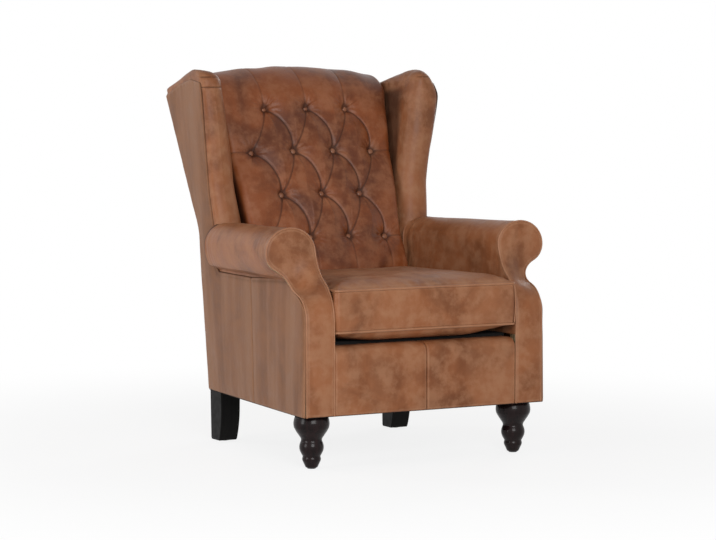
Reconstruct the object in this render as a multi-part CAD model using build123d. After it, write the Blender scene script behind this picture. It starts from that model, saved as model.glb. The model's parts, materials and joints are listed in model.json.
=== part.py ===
from build123d import *
import math
import os

# Wingback armchair in leather: scroll arms, buttoned back, loose boxed cushion, two turned front
# legs and two sabre rear legs. Millimetres, +Z up, +Y towards the back, left and right as seen
# from the front. While it is built, y is counted from the front plane of the arm posts. At the
# end the chair is moved so that its origin lies on the floor, under the middle of its box.

# Shared clearances and skins
gap = 0.3
leather = 2.5
skin = leather + gap
overrun = 60.0

# Body in plan and height
base_z = 146.0
waist_z = 610.0
back_top_z = 1080.0
crest_drop = 76.0
crest_z = back_top_z - crest_drop
base_front_half = 380.0
base_rear_narrowing = 65.0
waist_front_draw_in = 6.4
waist_rear_spread = 30.0
crest_front_spread = 28.3
crest_rear_spread = 58.0
base_rear_y = 715.0
waist_rear_lean = 2.0
rear_recline = 22.47
base_rear_half = base_front_half - base_rear_narrowing
waist_front_half = base_front_half - waist_front_draw_in
waist_rear_half = base_rear_half + waist_rear_spread
crest_front_half = base_front_half + crest_front_spread
crest_rear_half = base_rear_half + crest_rear_spread
waist_rear_y = base_rear_y + waist_rear_lean
crest_rear_y = waist_rear_y + (crest_z - waist_z) * math.tan(math.radians(rear_recline))

# Legs and what is fixed to them
foot_glide_radius = 12.0
foot_glide_height = 5.0
foot_glide_pocket = 2.0
front_leg_inset = 60.0
front_leg_y = 68.0
front_leg_top_radius = 45.0
front_leg_bulb_radius = 48.5
front_leg_bulb_drop = 15.0
front_leg_shoulder_radius = 43.0
front_leg_shoulder_drop = 27.0
front_leg_neck_radius = 27.0
front_leg_neck_z = 89.0
front_leg_vase_radius = 34.0
front_leg_vase_z = 63.0
front_leg_waist_radius = 23.5
front_leg_waist_z = 35.0
front_leg_ring_radius = 28.0
front_leg_ring_z = 27.0
front_leg_ring_low_z = 20.0
front_leg_toe_radius = 16.5
front_leg_hollow_shares = (0.82, 0.42)
front_leg_toe_shares = (0.42, 0.5)
rear_leg_inset = 30.0
rear_leg_setback = 51.0
front_leg_x = base_front_half - front_leg_inset
rear_leg_x = base_rear_half - rear_leg_inset
rear_leg_y = base_rear_y - rear_leg_setback
rear_leg_top_width = 62.0
rear_leg_top_depth = 70.0
rear_leg_foot_width = 57.0
rear_leg_foot_depth = 53.0
rear_leg_bend_share = 0.62
bolt_radius = 4.0
bolt_head_radius = 7.5
bolt_head_height = 5.3
bolt_in_leg = 55.0
bolt_in_post = 60.0

# Wooden frame
rail_height = 116.0
rail_thickness = 32.0
rail_setback = 8.0
corner_block_height = 60.0
corner_block_leg = 100.0
corner_block_toe = 9.0
post_thickness = 38.0
post_inset = 11.0
back_post_width = 35.0
back_post_depth = 50.0
back_post_setback = 6.0
top_rail_drop = 60.0
back_post_above_rail = 11.0
top_rail_z = crest_z - top_rail_drop
back_post_top_z = top_rail_z + back_post_above_rail
back_rail_height = 62.0
back_rail_thickness = 30.0
lower_back_rail_height = 46.0
lower_back_rail_depth = 47.0
back_upright_width = 30.0
back_upright_depth = 30.0
back_upright_inset = 3.0
arm_rail_width = 40.0
arm_rail_height = 30.0
arm_rail_offset = 5.0
wing_board_thickness = 22.0
wing_board_inset = 24.0
wing_board_setback = 8.0

# Suspension and deck
strap_width = 50.0
strap_thickness = 2.0
seat_strap_count = 5
seat_cross_strap_count = 4
back_strap_count = 5
deck_top_z = 338.0
deck_cloth_thickness = 1.7
dust_cover_thickness = 1.0

# Arm front: the ogee in side view and the scroll in front view
arm_front_width = 93.0
arm_inner_x = base_front_half - arm_front_width
sweep_low_z = 400.0
sweep_high_z = 545.0
sweep_run = 110.0
facing_pad_thickness = 9.0
facing_pad_inset = 5.0
roll_front_z = 580.0
roll_front_radius = 73.0
roll_rear_z = 578.0
roll_rear_radius = 66.0
arm_narrowing = 31.0
roll_front_x = arm_inner_x + roll_front_radius
roll_rear_x = arm_inner_x - arm_narrowing + roll_rear_radius
curl_share = 0.685
curl_angle = 64.0
neck_front_inset = 10.0
neck_rear_offset = 21.5
neck_front_x = base_front_half - neck_front_inset
neck_rear_x = roll_rear_x + neck_rear_offset
arm_rear_setback = 145.0
arm_end_y = base_rear_y - arm_rear_setback
arm_under_z = 472.0
arm_slab_width = 46.0
side_seam_share = 0.497
side_seam_y = base_rear_y * side_seam_share

# Front border under the cushion
border_top_z = 334.0
border_roll_radius = 26.0
border_depth = 66.0

# Back
recline = 22.5
back_kick_setback = 215.0
back_kick_z = 500.0
back_arm_margin = 32.0
back_spread = 33.0
back_spread_z = 640.0
back_kick_y = base_rear_y - back_kick_setback
back_low_half = arm_inner_x - back_arm_margin
back_high_half = back_low_half + back_spread
back_arch_drop = 44.0
back_crown = 24.0
quilt_thickness = 40.0
quilt_foot_thickness = 30.0
back_pad_thickness = 92.0
back_step_drop = 75.0
back_rear_round = 35.0
back_station_shares = (-1.0, -0.55, 0.0, 0.55, 1.0)

# Deep buttoning
button_radius = 11.0
button_height = 7.0
button_rim = 2.3
button_dome_radius_share = 0.72
button_dome_rise_share = 0.6
button_row_counts = (4, 3, 4, 3)
button_low_rise = 94.0
button_top_drop = 117.0
button_low_pitch_share = 0.494
button_high_pitch_share = 0.469
button_low_z = back_kick_z + button_low_rise
button_row_rise = (back_top_z - button_top_drop - button_low_z) / (len(button_row_counts) - 1)
button_low_pitch = back_low_half * button_low_pitch_share
button_high_pitch = back_high_half * button_high_pitch_share
tuft_depth = 29.0
tuft_mouth_radius = 34.0
fold_depth = 19.0
fold_half_width = 15.0

# Wings
wing_front_step = 28.0
wing_foot_rise = 30.0
wing_sweep_rise = 90.0
wing_corner_radius = 75.0
wing_above_back = 17.0
wing_rear_rise = 6.0
wing_width = 92.7
wing_inner_drop = 4.0
wing_front_y = arm_end_y + wing_front_step
wing_foot_z = waist_z + wing_foot_rise
wing_sweep_z = waist_z + wing_sweep_rise
wing_peak_z = back_top_z + wing_above_back
wing_rear_top_z = crest_z + wing_rear_rise
wing_inner_x = crest_front_half - wing_width
wing_inner_z = crest_z - wing_inner_drop
wing_inner_plan_slope = 0.22
wing_inner_lean = 0.15
wing_inner_round = 34.0
on_plane = 0.03

# Loose seat cushion
cushion_clearance = 4.0
cushion_low_seam_z = 369.0
cushion_high_seam_z = 481.0
cushion_crown = 30.0
cushion_corner_radius = 26.0
cushion_draw_in = 7.0
cushion_bulge = 5.0
cushion_front_y = -2.0
cushion_back_clearance = 12.0
cushion_rear_y = back_kick_y - cushion_back_clearance
cushion_rear_narrowing = 28.0
piping_radius = 4.0
crown_shares = ((1.0, 0.0), (0.86, 0.55), (0.55, 0.9), (0.2, 1.0))
belly_shares = ((1.0, 0.0), (0.93, 0.7), (0.8, 1.0))
zip_length_share = 0.837
zip_width = 24.0
zip_thickness = 1.2
zip_teeth_width = 6.0
zip_slider_length = 12.0
zip_slider_width = 9.0
zip_slider_height = 2.6
zip_slider_nose_width = 6.0


# Helpers
def polygon(*points):
    """Face through straight-sided corner points."""
    return make_face(Polyline(*points, close=True))


def side_prism(sketch, x_low, x_high):
    """Sketch drawn in (y, z), pulled along x."""
    return extrude(Plane.YZ.offset(x_low) * sketch, amount=x_high - x_low)


def front_prism(sketch, y_low, y_high):
    """Sketch drawn in (x, z), pulled along y."""
    return extrude(Plane.XZ.offset(-y_low) * sketch, amount=y_low - y_high)


def plan_prism(sketch, z_low, z_high):
    """Sketch drawn in (x, y), pulled along z."""
    return extrude(Pos(0, 0, z_low) * sketch, amount=z_high - z_low)


def around(centre, radius, degrees):
    """Point on a circle in the sketch's plane."""
    angle = math.radians(degrees)
    return (centre[0] + radius * math.cos(angle), centre[1] + radius * math.sin(angle))


def arc(centre, radius, start, end):
    """Arc by its centre and its start and end angles in degrees."""
    middle = (start + end) / 2
    return ThreePointArc(around(centre, radius, start), around(centre, radius, middle),
                         around(centre, radius, end))


def between(low, high, share):
    """Value at a share of the way from low to high."""
    return low + (high - low) * share


def other_side(shape):
    """The same piece on the left of the chair."""
    return mirror(shape, about=Plane.YZ)


def pair(shape):
    """The piece and its mirror image as one group."""
    return Compound([*shape.solids(), *other_side(shape).solids()])


# Outer surface of the body
def side_half(y, z):
    """Half width of the body at depth y and height z."""
    base = between(base_front_half, base_rear_half, y / base_rear_y)
    waist = between(waist_front_half, waist_rear_half, y / waist_rear_y)
    crest = between(crest_front_half, crest_rear_half, y / crest_rear_y)
    if z < waist_z:
        return between(base, waist, (z - base_z) / (waist_z - base_z))
    return between(waist, crest, (z - waist_z) / (crest_z - waist_z))


def rear_depth(z):
    """Depth of the outside back at height z."""
    if z < waist_z:
        return between(base_rear_y, waist_rear_y, (z - base_z) / (waist_z - base_z))
    return between(waist_rear_y, crest_rear_y, (z - waist_z) / (crest_z - waist_z))


def side_slab(outer_inset, inner_inset):
    """Leaning sheet that follows the right side of the body, from base to above the crest."""
    y_low = -overrun
    y_high = crest_rear_y + overrun
    sections = []
    for z in (base_z, waist_z, back_top_z + overrun):
        corners = [(side_half(y_low, z) - outer_inset, y_low),
                   (side_half(y_high, z) - outer_inset, y_high),
                   (side_half(y_high, z) - inner_inset, y_high),
                   (side_half(y_low, z) - inner_inset, y_low)]
        sections.append(Pos(0, 0, z) * polygon(*corners))
    return loft(sections, ruled=True)


def rear_outline(low_z, high_z, near_inset, far_inset):
    """Sheet in (y, z) that follows the outside back between two insets."""
    heights = [low_z, waist_z, high_z] if low_z < waist_z else [low_z, high_z]
    outer = [(rear_depth(z) - near_inset, z) for z in heights]
    inner = [(rear_depth(z) - far_inset, z) for z in reversed(heights)]
    return polygon(*outer, *inner)


# Arm front
sweep_half_rise = (sweep_high_z - sweep_low_z) / 2
sweep_turn = 2 * math.degrees(math.atan2(sweep_run / 2, sweep_half_rise))
sweep_radius = sweep_half_rise / math.sin(math.radians(sweep_turn))
arm_top_z = roll_front_z + roll_front_radius


def sweep_edges(depth, top_z):
    """Ogee line in (y, z), set back from the arm's front by depth, from base to top."""
    low_centre = (sweep_radius, sweep_low_z)
    high_centre = (sweep_run - sweep_radius, sweep_high_z)
    low_arc = arc(low_centre, sweep_radius - depth, 180, 180 - sweep_turn)
    high_arc = arc(high_centre, sweep_radius + depth, -sweep_turn, 0)
    foot = Line((depth, base_z), (depth, sweep_low_z))
    head = Line((sweep_run + depth, sweep_high_z), (sweep_run + depth, top_z))
    return [foot, low_arc, high_arc, head]


def sweep_band(near, far):
    """Curved board across the chair between two depths behind the arm's front."""
    top_z = arm_top_z + overrun
    edges = [*sweep_edges(near, top_z), *sweep_edges(far, top_z)]
    edges.append(Line((near, base_z), (far, base_z)))
    edges.append(Line((sweep_run + near, top_z), (sweep_run + far, top_z)))
    return side_prism(make_face(edges), 0, base_front_half + overrun * 2)


def ahead_of_sweep(depth):
    """Everything in front of the arm's front, set back by depth."""
    top_z = arm_top_z + overrun
    front = -overrun
    edges = sweep_edges(depth, top_z)
    edges.append(Polyline((sweep_run + depth, top_z), (front, top_z), (front, base_z),
                          (depth, base_z)))
    return side_prism(make_face(edges), 0, base_front_half + overrun * 2)


def roll_edges(centre_x, centre_z, radius, neck_x, inset):
    """Scroll in (x, z), from its inner side over the top to the neck, with the neck's height."""
    curl = radius * curl_share
    curl_x = centre_x + radius - curl
    turn = math.radians(curl_angle)
    curl_end_x = curl_x + curl * math.cos(turn)
    curl_end_z = centre_z - curl * math.sin(turn)
    neck_radius = (curl_end_x - neck_x) / (1 - math.cos(turn))
    neck_z = curl_end_z - neck_radius * math.sin(turn)
    centre = (centre_x, centre_z)
    edges = [arc(centre, radius - inset, 180, 90),
             arc(centre, radius - inset, 90, 0),
             arc((curl_x, centre_z), curl - inset, 0, -curl_angle),
             arc((neck_x + neck_radius, neck_z), neck_radius + inset, 180 - curl_angle, 180)]
    return edges, neck_z


def facing_outline(inset):
    """Outline of the arm front in (x, z), from the base to the top of the scroll."""
    edges, neck_z = roll_edges(roll_front_x, roll_front_z, roll_front_radius, neck_front_x, inset)
    inner_x = roll_front_x - roll_front_radius + inset
    edges.append(Polyline((neck_front_x - inset, neck_z),
                          (side_half(0, sweep_low_z) - inset, sweep_low_z),
                          (base_front_half - inset, base_z), (inner_x, base_z),
                          (inner_x, roll_front_z)))
    return make_face(edges)


def facing_slice(near, far, inset):
    """Layer of the arm front between two depths, drawn in from the outline by inset."""
    block = front_prism(facing_outline(inset), -overrun, sweep_run + overrun * 2)
    return block & sweep_band(near, far)


facing_pad_near = skin
facing_pad_far = facing_pad_near + facing_pad_thickness
post_near = facing_pad_far + gap
post_far = post_near + post_thickness
arm_facing = facing_slice(0, leather, 0)
arm_facing_pad = facing_slice(facing_pad_near, facing_pad_far, facing_pad_inset)
arm_post = facing_slice(post_near, post_far, post_inset)


# Back and what leans on it
lean = math.radians(recline)
up_back = (math.sin(lean), math.cos(lean))
into_back = (math.cos(lean), -math.sin(lean))
back_depth = (rear_depth(crest_z) - back_kick_y) * math.cos(lean) - (
    (crest_z - back_kick_z) * math.sin(lean))


def on_back(rise, depth):
    """Point in (y, z), so far up the reclined front surface and so deep behind it."""
    return (back_kick_y + up_back[0] * rise + into_back[0] * depth,
            back_kick_z + up_back[1] * rise + into_back[1] * depth)


def rise_at(z, depth):
    """How far up the back a given height lies, at a depth behind the front surface."""
    return (z - back_kick_z - into_back[1] * depth) / up_back[1]


def leaning_slab(low_rise, high_rise, near, far, half):
    """Board across the back between two rises and two depths."""
    face = polygon(on_back(low_rise, near), on_back(high_rise, near),
                   on_back(high_rise, far), on_back(low_rise, far))
    return side_prism(face, -half, half)


def foot_rise(depth, foot):
    """How far up the back a layer stops leaning and turns straight down behind the cushion."""
    return (foot - into_back[0] * depth) / up_back[0]


def back_face(share, grow):
    """Front of the back and the roll over its top in (y, z): edges, first and last point."""
    sink = back_crown * share**2 - grow
    top_z = back_top_z - back_arch_drop * share**2 + grow
    rear_radius = back_rear_round + grow
    radius = back_depth + grow - sink - rear_radius
    roll_rise = rise_at(top_z - radius, sink + radius)
    roll = on_back(roll_rise, sink + radius)
    rear_roll = on_back(roll_rise + radius - rear_radius, sink + radius)
    front_angle = 180 - recline
    first = (back_kick_y + sink, deck_top_z + gap)
    last = around(rear_roll, rear_radius, front_angle - 180)
    edges = [Line(first, on_back(0, sink)),
             Line(on_back(0, sink), around(roll, radius, front_angle)),
             arc(roll, radius, front_angle, front_angle - 90),
             arc(rear_roll, rear_radius, front_angle - 90, front_angle - 180)]
    return edges, first, last


def quilt_section(share, grow):
    """Outline in (y, z) of the quilted layer at a share of the back's half width."""
    edges, first, last = back_face(share, grow)
    rear = back_depth + grow
    step_rise = rise_at(back_top_z - back_arch_drop * share**2 - back_step_drop - grow, rear)
    turn = on_back(foot_rise(quilt_thickness, quilt_foot_thickness), quilt_thickness)
    foot = (back_kick_y + quilt_foot_thickness, first[1])
    edges.append(Polyline(last, on_back(step_rise, rear), on_back(step_rise, quilt_thickness),
                          turn, foot, first))
    return make_face(edges)


def room_section(share, grow):
    """Outline in (y, z) of all that the back takes up, down to its outside panel."""
    edges, first, last = back_face(share, grow)
    edges.append(Polyline(last, (rear_depth(waist_z) + grow, waist_z),
                          (rear_depth(base_z) + grow, first[1]), first))
    return make_face(edges)


def back_outline(inset):
    """Front view of the back in (x, z): straight sides that spread towards the top."""
    low = back_low_half - inset
    high = back_high_half - inset
    top_z = back_top_z + overrun
    return polygon((-low, base_z), (low, base_z), (low, back_spread_z), (high, crest_z),
                   (high, top_z), (-high, top_z), (-high, crest_z), (-low, back_spread_z))


def back_body(section, grow):
    """The back's sections lofted across the chair and trimmed to its front view."""
    stations = [Plane.YZ.offset(share * back_high_half) * section(share, grow)
                for share in back_station_shares]
    return loft(stations) & front_prism(back_outline(-grow), 0, crest_rear_y + overrun * 2)


back_quilt_whole = back_body(quilt_section, 0)
back_room = back_body(room_section, gap)


# Buttons, tufts and folds of the back
button_rows = []
for row, count in enumerate(button_row_counts):
    pitch = between(button_low_pitch, button_high_pitch, row / (len(button_row_counts) - 1))
    height = button_low_z + row * button_row_rise
    button_rows.append([((place - (count - 1) / 2) * pitch, height) for place in range(count)])


def quilt_point(x, z, depth):
    """Point in space on or under the back's front surface."""
    y_z = on_back(rise_at(z, depth), depth)
    return Vector(x, y_z[0], y_z[1])


into_quilt = Vector(0, into_back[0], into_back[1])


def tuft_cutter(x, z):
    """Funnel that draws the leather in to one button's seat."""
    mouth = Plane(origin=quilt_point(x, z, 0), x_dir=(1, 0, 0), z_dir=into_quilt)
    floor_radius = button_radius + gap * 2
    slope = (tuft_mouth_radius - floor_radius) / tuft_depth
    outside = tuft_depth / 2
    profile = polygon((0, -outside), (tuft_mouth_radius + slope * outside, -outside),
                      (floor_radius, tuft_depth), (0, tuft_depth))
    funnel = revolve(Plane.XZ * profile, axis=Axis.Z)
    return mouth.location * funnel


def fold_cutter(start, end):
    """V channel between two places (x, z) on the quilt."""
    low = quilt_point(*start, 0)
    along = (quilt_point(*end, 0) - low)
    slope = fold_half_width / fold_depth
    outside = fold_depth
    section = polygon((0, fold_depth), (-slope * outside * 2, -outside),
                      (slope * outside * 2, -outside))
    plane = Plane(origin=low, z_dir=along, x_dir=along.cross(into_quilt))
    if plane.y_dir.dot(into_quilt) < 0:
        section = mirror(section, about=Plane.XZ)
    return extrude(plane * section, amount=along.length)


def near_pairs(lower, upper):
    """Every button with those of the next row up that lie diagonally beside it."""
    reach = button_high_pitch
    return [(a, b) for a in lower for b in upper if abs(a[0] - b[0]) < reach]


folds = []
for lower, upper in zip(button_rows, button_rows[1:]):
    folds.extend(near_pairs(lower, upper))
for x, z in button_rows[-1]:
    folds.append(((x, z), (x, back_top_z)))
for x, z in button_rows[0]:
    folds.append(((x, back_kick_z), (x, z)))
for row in button_rows:
    if len(row) == max(button_row_counts):
        folds.append((row[-1], (back_high_half + overrun, row[-1][1])))
        folds.append(((-back_high_half - overrun, row[0][1]), row[0]))

cutters = [tuft_cutter(x, z) for row in button_rows for x, z in row]
cutters += [fold_cutter(start, end) for start, end in folds]
back_quilt = back_quilt_whole - cutters


def button_at(x, z):
    """Covered button on the floor of its tuft: a shallow dome on a short rim."""
    shoulder = (button_radius * button_dome_radius_share,
                between(button_rim, button_height, button_dome_rise_share))
    profile = make_face([Polyline((button_radius, button_rim), (button_radius, 0), (0, 0),
                                  (0, button_height)),
                         ThreePointArc((0, button_height), shoulder,
                                       (button_radius, button_rim))])
    seat = Plane(origin=quilt_point(x, z, 0) + into_quilt * (tuft_depth - gap),
                 x_dir=(1, 0, 0), z_dir=-into_quilt)
    return seat.location * revolve(Plane.XZ * profile, axis=Axis.Z)


tufting_buttons = Compound([button_at(x, z) for row in button_rows for x, z in row])


# Foam behind the quilted layer, and the uprights and straps that it leans on
pad_near = quilt_thickness + gap
strap_near = back_pad_thickness + gap
upright_near = strap_near + strap_thickness
upright_far = upright_near + back_upright_depth
pad_top_z = back_top_z - back_arch_drop - back_step_drop - gap
lower_rail_top_z = base_z + rail_height
upright_top_rise = rise_at(pad_top_z, upright_near)
pad_foot_z = deck_top_z + gap
pad_turn = on_back(foot_rise(pad_near, quilt_foot_thickness + gap), pad_near)
pad_foot_y = back_kick_y + quilt_foot_thickness + gap
back_foam = side_prism(
    polygon(pad_turn, on_back(rise_at(pad_top_z, pad_near), pad_near),
            on_back(rise_at(pad_top_z, back_pad_thickness), back_pad_thickness),
            on_back(rise_at(pad_foot_z, back_pad_thickness), back_pad_thickness),
            (pad_foot_y, pad_foot_z)),
    -back_high_half, back_high_half)
back_foam = back_foam & front_prism(back_outline(leather), 0, crest_rear_y)


def upright_x(z):
    """Outer face of a back upright at a height, just inside the edge of the back."""
    share = max(0, z - back_spread_z) / (crest_z - back_spread_z)
    return between(back_low_half, back_high_half, share) - back_upright_inset


upright_side = polygon(on_back(rise_at(lower_rail_top_z, upright_near), upright_near),
                       on_back(upright_top_rise, upright_near),
                       on_back(rise_at(pad_top_z, upright_far), upright_far),
                       on_back(rise_at(lower_rail_top_z, upright_far), upright_far))
upright_front = polygon(*[(upright_x(z), z) for z in (base_z, back_spread_z, pad_top_z)],
                        *[(upright_x(z) - back_upright_width, z)
                          for z in (pad_top_z, back_spread_z, base_z)])
back_upright = (side_prism(upright_side, 0, back_high_half)
                & front_prism(upright_front, 0, crest_rear_y))

straps = []
for place in range(back_strap_count):
    middle_z = between(back_kick_z - strap_width, pad_top_z - strap_width,
                       place / (back_strap_count - 1))
    rise = rise_at(middle_z, strap_near)
    straps.append(leaning_slab(rise - strap_width / 2, rise + strap_width / 2, strap_near,
                               upright_near, upright_x(middle_z)))
back_webbing = Compound(straps)


# Arms
def arm_section(y, centre_x, centre_z, radius, neck_x, inset):
    """Section of an arm across the chair: the roll, its neck and the slab down to the deck."""
    edges, neck_z = roll_edges(centre_x, centre_z, radius, neck_x, inset)
    inner_x = centre_x - radius + inset
    slab_x = centre_x - radius + arm_slab_width - inset
    under_z = arm_under_z + inset
    edges.append(Polyline((neck_x - inset, neck_z), (neck_x - inset, under_z), (slab_x, under_z),
                          (slab_x, deck_top_z), (inner_x, deck_top_z), (inner_x, centre_z)))
    return Plane.XZ.offset(-y) * make_face(edges)


def arm_body(inset, depth):
    """Upholstered arm drawn in by inset, cut off in front at a depth behind the arm's front."""
    front = (roll_front_x, roll_front_z, roll_front_radius, neck_front_x, inset)
    rear = (roll_rear_x, roll_rear_z, roll_rear_radius, neck_rear_x, inset)
    straight = loft([arm_section(0, *front), arm_section(sweep_run, *front)], ruled=True)
    tapered = loft([arm_section(sweep_run, *front), arm_section(arm_end_y - inset, *rear)],
                   ruled=True)
    return (straight + tapered) - ahead_of_sweep(depth)


below_neck = side_prism(polygon((0, deck_top_z), (arm_end_y, deck_top_z),
                                (arm_end_y, arm_under_z + skin), (0, arm_under_z + skin)),
                        arm_inner_x, base_front_half + overrun)
arm_cover = (arm_body(0, skin) - arm_body(leather, skin)
             - (facing_slice(0, post_far + gap, skin) & below_neck))


# Wooden frame under and behind the upholstery
rail_top_z = base_z + rail_height


def rail_outer(y):
    """Outer face of the side rail at a depth."""
    return side_half(y, base_z) - rail_setback


def rail_inner(y):
    """Inner face of the side rail at a depth."""
    return rail_outer(y) - rail_thickness


post_front_y = base_rear_y - back_post_setback - back_post_depth
post_inner_x = side_half(base_rear_y, base_z) - rail_setback - back_post_width
front_rail_near = post_near
front_rail_far = front_rail_near + rail_thickness
arm_post_inner = arm_inner_x + post_inset
side_rail_start = post_far + gap
side_rail_end = post_front_y - gap
rear_rail_far = base_rear_y - back_post_setback
rear_rail_near = rear_rail_far - rail_thickness

front_rail = plan_prism(polygon((-arm_post_inner + gap, front_rail_near),
                                (arm_post_inner - gap, front_rail_near),
                                (arm_post_inner - gap, front_rail_far),
                                (-arm_post_inner + gap, front_rail_far)), base_z, rail_top_z)
rear_rail = plan_prism(polygon((-post_inner_x + gap, rear_rail_near),
                               (post_inner_x - gap, rear_rail_near),
                               (post_inner_x - gap, rear_rail_far),
                               (-post_inner_x + gap, rear_rail_far)), base_z, rail_top_z)
side_rail = plan_prism(polygon((rail_outer(side_rail_start), side_rail_start),
                               (rail_outer(side_rail_end), side_rail_end),
                               (rail_inner(side_rail_end), side_rail_end),
                               (rail_inner(side_rail_start), side_rail_start)),
                       base_z, rail_top_z)

front_block_y = post_far + gap
front_block = plan_prism(polygon(
    (rail_inner(front_block_y) - gap, front_block_y),
    (rail_inner(front_block_y) - corner_block_leg, front_block_y),
    (rail_inner(front_block_y) - corner_block_leg, front_block_y + corner_block_toe),
    (rail_inner(front_block_y + corner_block_leg) - corner_block_toe,
     front_block_y + corner_block_leg),
    (rail_inner(front_block_y + corner_block_leg) - gap, front_block_y + corner_block_leg)),
    base_z, base_z + corner_block_height)
rear_block_x = post_inner_x - gap
rear_block_y = rear_rail_near - gap
rear_block_leg = rear_block_y - post_front_y
rear_block = plan_prism(polygon(
    (rear_block_x, rear_block_y), (rear_block_x - corner_block_leg, rear_block_y),
    (rear_block_x - corner_block_leg, rear_block_y - corner_block_toe),
    (rear_block_x - corner_block_toe, post_front_y - rear_block_leg),
    (rear_block_x, post_front_y - rear_block_leg)), base_z, base_z + corner_block_height)


def post_section(z):
    """Section of a back post at a height."""
    y_far = rear_depth(z) - back_post_setback
    y_near = y_far - back_post_depth
    x_far = side_half(rear_depth(z), z) - rail_setback
    x_near = x_far - back_post_width
    return Pos(0, 0, z) * polygon((x_near, y_near), (x_far, y_near), (x_far, y_far),
                                  (x_near, y_far))


back_post = loft([post_section(z) for z in (base_z, waist_z, back_post_top_z)], ruled=True)

top_rail_low_z = top_rail_z - back_rail_height
top_rail_half = side_half(rear_depth(top_rail_low_z), top_rail_low_z) - (
    rail_setback + back_post_width + gap)
top_rail_far = back_post_setback + back_rail_thickness
top_back_rail = side_prism(rear_outline(top_rail_low_z, top_rail_z, back_post_setback,
                                        top_rail_far), -top_rail_half, top_rail_half)

lower_rail_y = on_back(rise_at(rail_top_z, upright_near), upright_near)[0] - gap
lower_rail_far = lower_rail_y + lower_back_rail_depth
lower_back_rail = plan_prism(polygon(
    (-rail_inner(lower_rail_y) + gap, lower_rail_y),
    (rail_inner(lower_rail_y) - gap, lower_rail_y),
    (rail_inner(lower_rail_far) - gap, lower_rail_far),
    (-rail_inner(lower_rail_far) + gap, lower_rail_far)),
    rail_top_z - lower_back_rail_height, rail_top_z)


def arm_rail_section(y, x, z):
    """Section of the arm rail across the chair."""
    half_width = arm_rail_width / 2
    half_height = arm_rail_height / 2
    return Plane.XZ.offset(-y) * polygon(
        (x - half_width, z - half_height), (x + half_width, z - half_height),
        (x + half_width, z + half_height), (x - half_width, z + half_height))


arm_rail_start = sweep_run + post_far + gap
arm_rail_end = post_front_y - gap
arm_rail = loft([arm_rail_section(arm_rail_start, roll_front_x - arm_rail_offset, roll_front_z),
                 arm_rail_section(arm_rail_end, roll_rear_x - arm_rail_offset, roll_rear_z)],
                ruled=True)
arm_foam = arm_body(skin, post_far + gap) - arm_rail
arm_cover = arm_cover - arm_rail


# Wings
wing_top_slope = (wing_rear_top_z - wing_peak_z) / (rear_depth(wing_rear_top_z) - wing_front_y)
wing_top_stretch = math.hypot(1, wing_top_slope)


def wing_top(y, inset):
    """Height of the wing's sloping top at a depth, before its corner is rounded."""
    return wing_peak_z + (y - wing_front_y) * wing_top_slope - inset * wing_top_stretch


def wing_outline(foot_z, inset):
    """Side view of a wing in (y, z): it sweeps forward over the arm and slopes to the rear."""
    foot_y = arm_end_y + gap + inset
    front_y = wing_front_y + inset
    rear_inset = skin + inset
    rear_top_y = rear_depth(wing_rear_top_z) - rear_inset
    points = [(foot_y, foot_z), (foot_y, wing_foot_z), (front_y, wing_sweep_z),
              (front_y, wing_top(front_y, inset)), (rear_top_y, wing_top(rear_top_y, inset)),
              (rear_depth(waist_z) - rear_inset, waist_z),
              (rear_depth(foot_z) - rear_inset, foot_z)]
    bend = (wing_front_y - arm_end_y) * 2
    radii = [0, bend, bend, wing_corner_radius - inset, 0, 0, 0]
    return make_face(FilletPolyline(*points, radius=radii, close=True))


def wing_body(inset):
    """Upholstered wing inside its outer panel, before the back is set against it."""
    inner_x = back_low_half + gap + inset
    block = side_prism(wing_outline(arm_under_z, inset), inner_x, crest_front_half)
    facing = Vector(1, wing_inner_plan_slope, -wing_inner_lean).normalized()
    inside = Plane(origin=Vector(wing_inner_x, wing_front_y, wing_inner_z) + facing * inset,
                   z_dir=facing)
    block = split(block & side_slab(skin, wing_inner_x), bisect_by=inside, keep=Keep.TOP)
    rim = [edge for edge in block.edges()
           if edge.center().X > inner_x + gap and edge.center().Z > arm_under_z + gap
           and edge.center().Y < rear_depth(edge.center().Z) - skin - inset - gap
           and all(abs(inside.to_local_coords(edge @ share).Z) < on_plane
                   for share in (0, 0.5, 1))]
    return fillet(rim, wing_inner_round - inset)


wing_board_far = back_post_setback + back_post_depth + gap
wing_board_front_y = wing_front_y + wing_board_inset
wing_board_rear_y = rear_depth(wing_rear_top_z) - wing_board_far - wing_board_inset
wing_board_low_z = roll_rear_z + arm_rail_height / 2 + gap * 4
wing_board_top_z = wing_top(wing_board_rear_y, wing_board_inset)
wing_board = side_prism(
    make_face(FilletPolyline(
        (wing_board_front_y, wing_board_low_z),
        (wing_board_front_y, wing_top(wing_board_front_y, wing_board_inset)),
        (wing_board_rear_y, wing_board_top_z),
        (rear_depth(waist_z) - wing_board_far, waist_z),
        (rear_depth(wing_board_low_z) - wing_board_far, wing_board_low_z),
        radius=[0, wing_corner_radius - wing_board_inset, 0, 0, 0], close=True)),
    0, crest_front_half) & side_slab(wing_board_setback, wing_board_setback + wing_board_thickness)

wing_outer = wing_body(0)
wing_cover = wing_outer - wing_body(leather) - back_room - arm_rail
wing_foam = wing_body(skin) - back_room - back_post - wing_board - arm_rail - top_back_rail


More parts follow.
